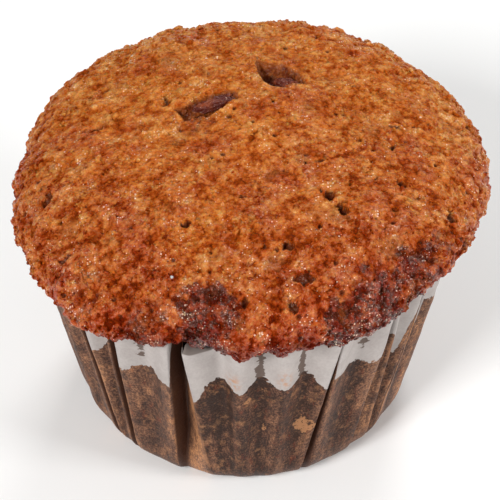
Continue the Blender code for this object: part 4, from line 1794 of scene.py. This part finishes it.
@dataclass(frozen=True)
class FruitPiece:
    """A wrinkled lump of fruit that lies in one of the craters."""

    name: str
    node: str
    centre: Spot
    half_sizes: Spot
    turn: float
    seed: int
    bulge: float = 0.3
    wrinkle: float = 0.22
    rows: int = 40
    columns: int = 64

    def piece(self) -> Piece:
        """Work out the lump: an ellipsoid pushed in and out by two layers of noise.

        Returns:
            A closed piece with a single point at each pole.
        """
        lift = np.linspace(-0.5 * math.pi, 0.5 * math.pi, self.rows)[1:-1]
        round_angle = np.linspace(0.0, TURN, self.columns, endpoint=False)
        up, turn = np.meshgrid(lift, round_angle, indexing="ij")
        ball = np.stack((np.cos(up) * np.cos(turn), np.cos(up) * np.sin(turn), np.sin(up)), axis=2)
        ball = np.concatenate((ball.reshape(-1, 3), [[0.0, 0.0, -1.0], [0.0, 0.0, 1.0]]))
        swell = 1.0 + self.bulge * soft_noise(ball * 2.0, 1.1, self.seed)
        swell = swell + self.wrinkle * soft_noise(ball * 2.0, 0.5, self.seed + 1)
        shape = ball * swell[:, None] * np.array(self.half_sizes)
        cosine = math.cos(math.radians(self.turn))
        sine = math.sin(math.radians(self.turn))
        spin = np.array([[cosine, -sine, 0.0], [sine, cosine, 0.0], [0.0, 0.0, 1.0]])
        points = shape @ spin.T + np.array(self.centre)
        return Piece(self.name, points, closed_rows(self.rows - 2, self.columns))


@dataclass(frozen=True)
class Crumbs:
    """Rounded grains of crumb, half sunk in the crust, as one joined piece."""

    crown: CrownForm
    name: str
    count: int
    subdivisions: int
    smallest: float
    largest: float
    seed: int
    clump: float = 4.0

    def ball(self) -> tuple[np.ndarray, np.ndarray]:
        """Points and triangles of a round ball, made of a finely cut icosahedron."""
        shape = bmesh.new()
        bmesh.ops.create_icosphere(shape, subdivisions=self.subdivisions, radius=1.0)
        places = np.array([vertex.co[:] for vertex in shape.verts])
        faces = np.array([[vertex.index for vertex in face.verts] for face in shape.faces])
        shape.free()
        return places, faces

    def piece(self) -> Piece:
        """Scatter the grains over the crown, thick in some clumps and thin in others.

        Each grain lies along its own surface normal, sunk by half its size, with its own size,
        stretch, flatness and turn, and its points are moved in and out at random.

        Returns:
            One joined piece.
        """
        draw = np.random.default_rng(self.seed)
        run = np.sqrt(draw.uniform(0.0, 1.0, self.count)) * 0.96
        angle = draw.uniform(0.0, TURN, self.count)
        places, normal, relief = self.crown.crust_point(run, angle)
        density = 0.62 + 0.6 * soft_noise(places, self.clump, self.seed + 1)
        keep = draw.uniform(0.0, 1.0, self.count) < density
        keep = keep & (relief["cavity"] < 0.25) & (relief["wet"] < 0.3)
        places, normal = places[keep], normal[keep]
        brown, patch = relief["brown"][keep], relief["patch"][keep]
        count = len(places)
        ball, faces = self.ball()
        size = self.smallest + (self.largest - self.smallest) * draw.uniform(0.0, 1.0, count) ** 2.2
        lumpy = 1.0 + 0.16 * draw.standard_normal((count, len(ball)))
        helper = np.where(np.abs(normal[:, 2:]) < 0.9, np.array([0.0, 0.0, 1.0]), np.array([1.0, 0.0, 0.0]))
        side = unit(np.cross(helper, normal))
        spin = draw.uniform(0.0, TURN, count)[:, None]
        other = np.cross(normal, side)
        first = side * np.cos(spin) + other * np.sin(spin)
        second = np.cross(normal, first)
        wide = draw.uniform(0.8, 1.35, (count, 1))
        flat = draw.uniform(0.6, 0.95, (count, 1))
        shape = ball[None, :, :] * lumpy[:, :, None] * size[:, None, None]
        points = (
            places[:, None, :]
            - normal[:, None, :] * (0.3 * size)[:, None, None]
            + shape[:, :, :1] * (first * wide)[:, None, :]
            + shape[:, :, 1:2] * (second / wide)[:, None, :]
            + shape[:, :, 2:] * (normal * flat)[:, None, :]
        )
        spread = len(ball)
        numbers = faces[None] + (np.arange(count) * spread)[:, None, None]
        # A grain's top gets painted light and its underside painted shade.
        top = np.clip(0.5 + 0.5 * ball[:, 2], 0.0, 1.0)[None, :]
        tone = draw.uniform(0.25, 1.0, count)[:, None]
        values = {
            "brown": np.repeat(np.clip(brown + draw.uniform(-0.25, 0.2, count), 0.0, 1.3), spread),
            "patch": np.repeat(patch, spread),
            "high": (tone * (0.25 + 0.75 * top)).ravel(),
            "cavity": np.zeros(count * spread),
            "wet": np.zeros(count * spread),
        }
        return Piece(self.name, points.reshape(-1, 3), numbers.reshape(-1, 3), values)


# ---------------------------------------------------------------------------------------------
# Studio
# ---------------------------------------------------------------------------------------------


@dataclass(frozen=True)
class SoftLight:
    """A square white light that faces the muffin: its place and side in metres and its power in watts."""

    name: str
    place: Spot
    side: float
    power: float

    def build(self, aim: Spot) -> None:
        """Hang the light and turn it towards a point.

        Args:
            aim: The point in metres.
        """
        data = bpy.data.lights.new(self.name, "AREA")
        data.size = self.side
        data.energy = self.power
        item = bpy.data.objects.new(self.name, data)
        item.location = self.place
        way = Vector(aim) - Vector(self.place)
        item.rotation_euler = way.to_track_quat("-Z", "Y").to_euler()
        bpy.context.scene.collection.objects.link(item)


@dataclass(frozen=True)
class Studio:
    """Camera, lights, world and table top. The camera's sizes are in mm, the others in metres."""

    elevation: float = 45.8
    distance: float = 500.0
    lens: float = 206.2
    target: Spot = (-0.4, 0.0, 25.0)
    raise_view: float = 3.2
    world_light: float = 0.27
    table_half: float = 1.5
    aim: Spot = (0.0, 0.0, 0.03)
    lights: tuple[SoftLight, ...] = (
        SoftLight("key", (-0.35, -0.5, 0.55), 0.24, 5.2),
        SoftLight("back", (0.15, 0.6, 0.5), 0.28, 2.7),
        SoftLight("side", (0.7, -0.3, 0.4), 0.24, 3.8),
    )

    def camera(self) -> None:
        """Set up the camera straight in front, looking down at the muffin through a long lens."""
        up = math.radians(self.elevation)
        forward = Vector((0.0, math.cos(up), -math.sin(up)))
        above = Vector((0.0, math.sin(up), math.cos(up)))
        data = bpy.data.cameras.new("camera")
        data.lens = self.lens
        data.clip_start = 0.01
        data.clip_end = 10.0
        item = bpy.data.objects.new("camera", data)
        place = Vector(self.target) + self.raise_view * above - self.distance * forward
        turn = forward.to_track_quat("-Z", "Y").to_matrix().to_4x4()
        item.matrix_world = Matrix.Translation(place * MM) @ turn
        bpy.context.scene.collection.objects.link(item)
        bpy.context.scene.camera = item

    def world(self) -> None:
        """Fill the surroundings with even white light."""
        world = bpy.data.worlds.new("studio")
        world.use_nodes = True
        world.node_tree.nodes["Background"].inputs["Color"].default_value = (1.0, 1.0, 1.0, 1.0)
        world.node_tree.nodes["Background"].inputs["Strength"].default_value = self.world_light
        bpy.context.scene.world = world

    def table(self, finish: bpy.types.Material) -> None:
        """Lay a pale floor under the muffin.

        Args:
            finish: The floor's material.
        """
        mesh = bpy.data.meshes.new("table_top")
        half = self.table_half
        corners = [(-half, -half, 0.0), (half, -half, 0.0), (half, half, 0.0), (-half, half, 0.0)]
        mesh.from_pydata(corners, [], [(0, 1, 2, 3)])
        mesh.materials.append(finish)
        item = bpy.data.objects.new("table_top", mesh)
        bpy.context.scene.collection.objects.link(item)

    def build(self, mottle: MottleGroup) -> None:
        """Build the whole studio.

        Args:
            mottle: The shared mottling group.
        """
        self.camera()
        self.world()
        self.table(FloorFinish().build(mottle))
        for light in self.lights:
            light.build(self.aim)
        scene = bpy.context.scene
        scene.view_settings.view_transform = "Standard"
        scene.view_settings.look = "None"


def crown_centre(radius: float, waves: Waves) -> tuple[float, float]:
    """Middle of the crown's uneven outline before it is centred on the origin.

    Args:
        radius: The outline's mean radius in mm.
        waves: Its waves round the crown: the number of waves, the cosine's and the sine's height in mm.

    Returns:
        X and Y of the middle of its box in mm.
    """
    angle = np.linspace(0.0, TURN, 361)
    outline = radius + sum(c * np.cos(n * angle) + s * np.sin(n * angle) for n, c, s in waves)
    x, y = outline * np.cos(angle), outline * np.sin(angle)
    return float(x.min() + x.max()) / 2.0, float(y.min() + y.max()) / 2.0


def main() -> None:
    """Build the studio and every piece, in order."""
    logging.basicConfig(level=logging.INFO, format="%(message)s")
    mount = frame["record"]["mounts"][0]["pos_m"]
    case_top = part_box("paper_case")[1][2]
    case = CaseForm(centre_x=mount[0] / MM, height=round(case_top / MM, 1))
    centre = crown_centre(CrownForm.radius, CrownForm.outline_waves)
    crown = CrownForm(case=case, centre=centre)
    mottle = MottleGroup()
    Studio().build(mottle)
    crust = CrustFinish().build(mottle)
    paper = PaperFinish().build(mottle)
    fruit = FruitFinish().build(mottle)
    Crust(crown).piece().build(crust, Slot.CRUST, ("cake",))
    PaperCase(case, crown).piece().build(paper, Slot.PAPER, ("paper_case",))
    for scatter in (
        Crumbs(crown, "crumb_grains", 3200, subdivisions=2, smallest=0.35, largest=0.75, seed=41),
        Crumbs(crown, "fine_crumbs", 14000, subdivisions=1, smallest=0.2, largest=0.42, seed=43),
    ):
        scatter.piece().build(crust, Slot.CRUST)
    for lump in (
        FruitPiece("fruit_left", "fruit_piece_left", centre=(-6.6, 8.6, 56.1),
                   half_sizes=(3.5, 1.3, 0.9), turn=28.0, seed=5),
        FruitPiece("fruit_right", "fruit_piece_right", centre=(5.9, 14.1, 54.9),
                   half_sizes=(2.7, 1.5, 1.3), turn=-12.0, seed=9),
    ):
        lump.piece().build(fruit, Slot.FRUIT, (lump.node,))


if __name__ == "__main__":
    main()
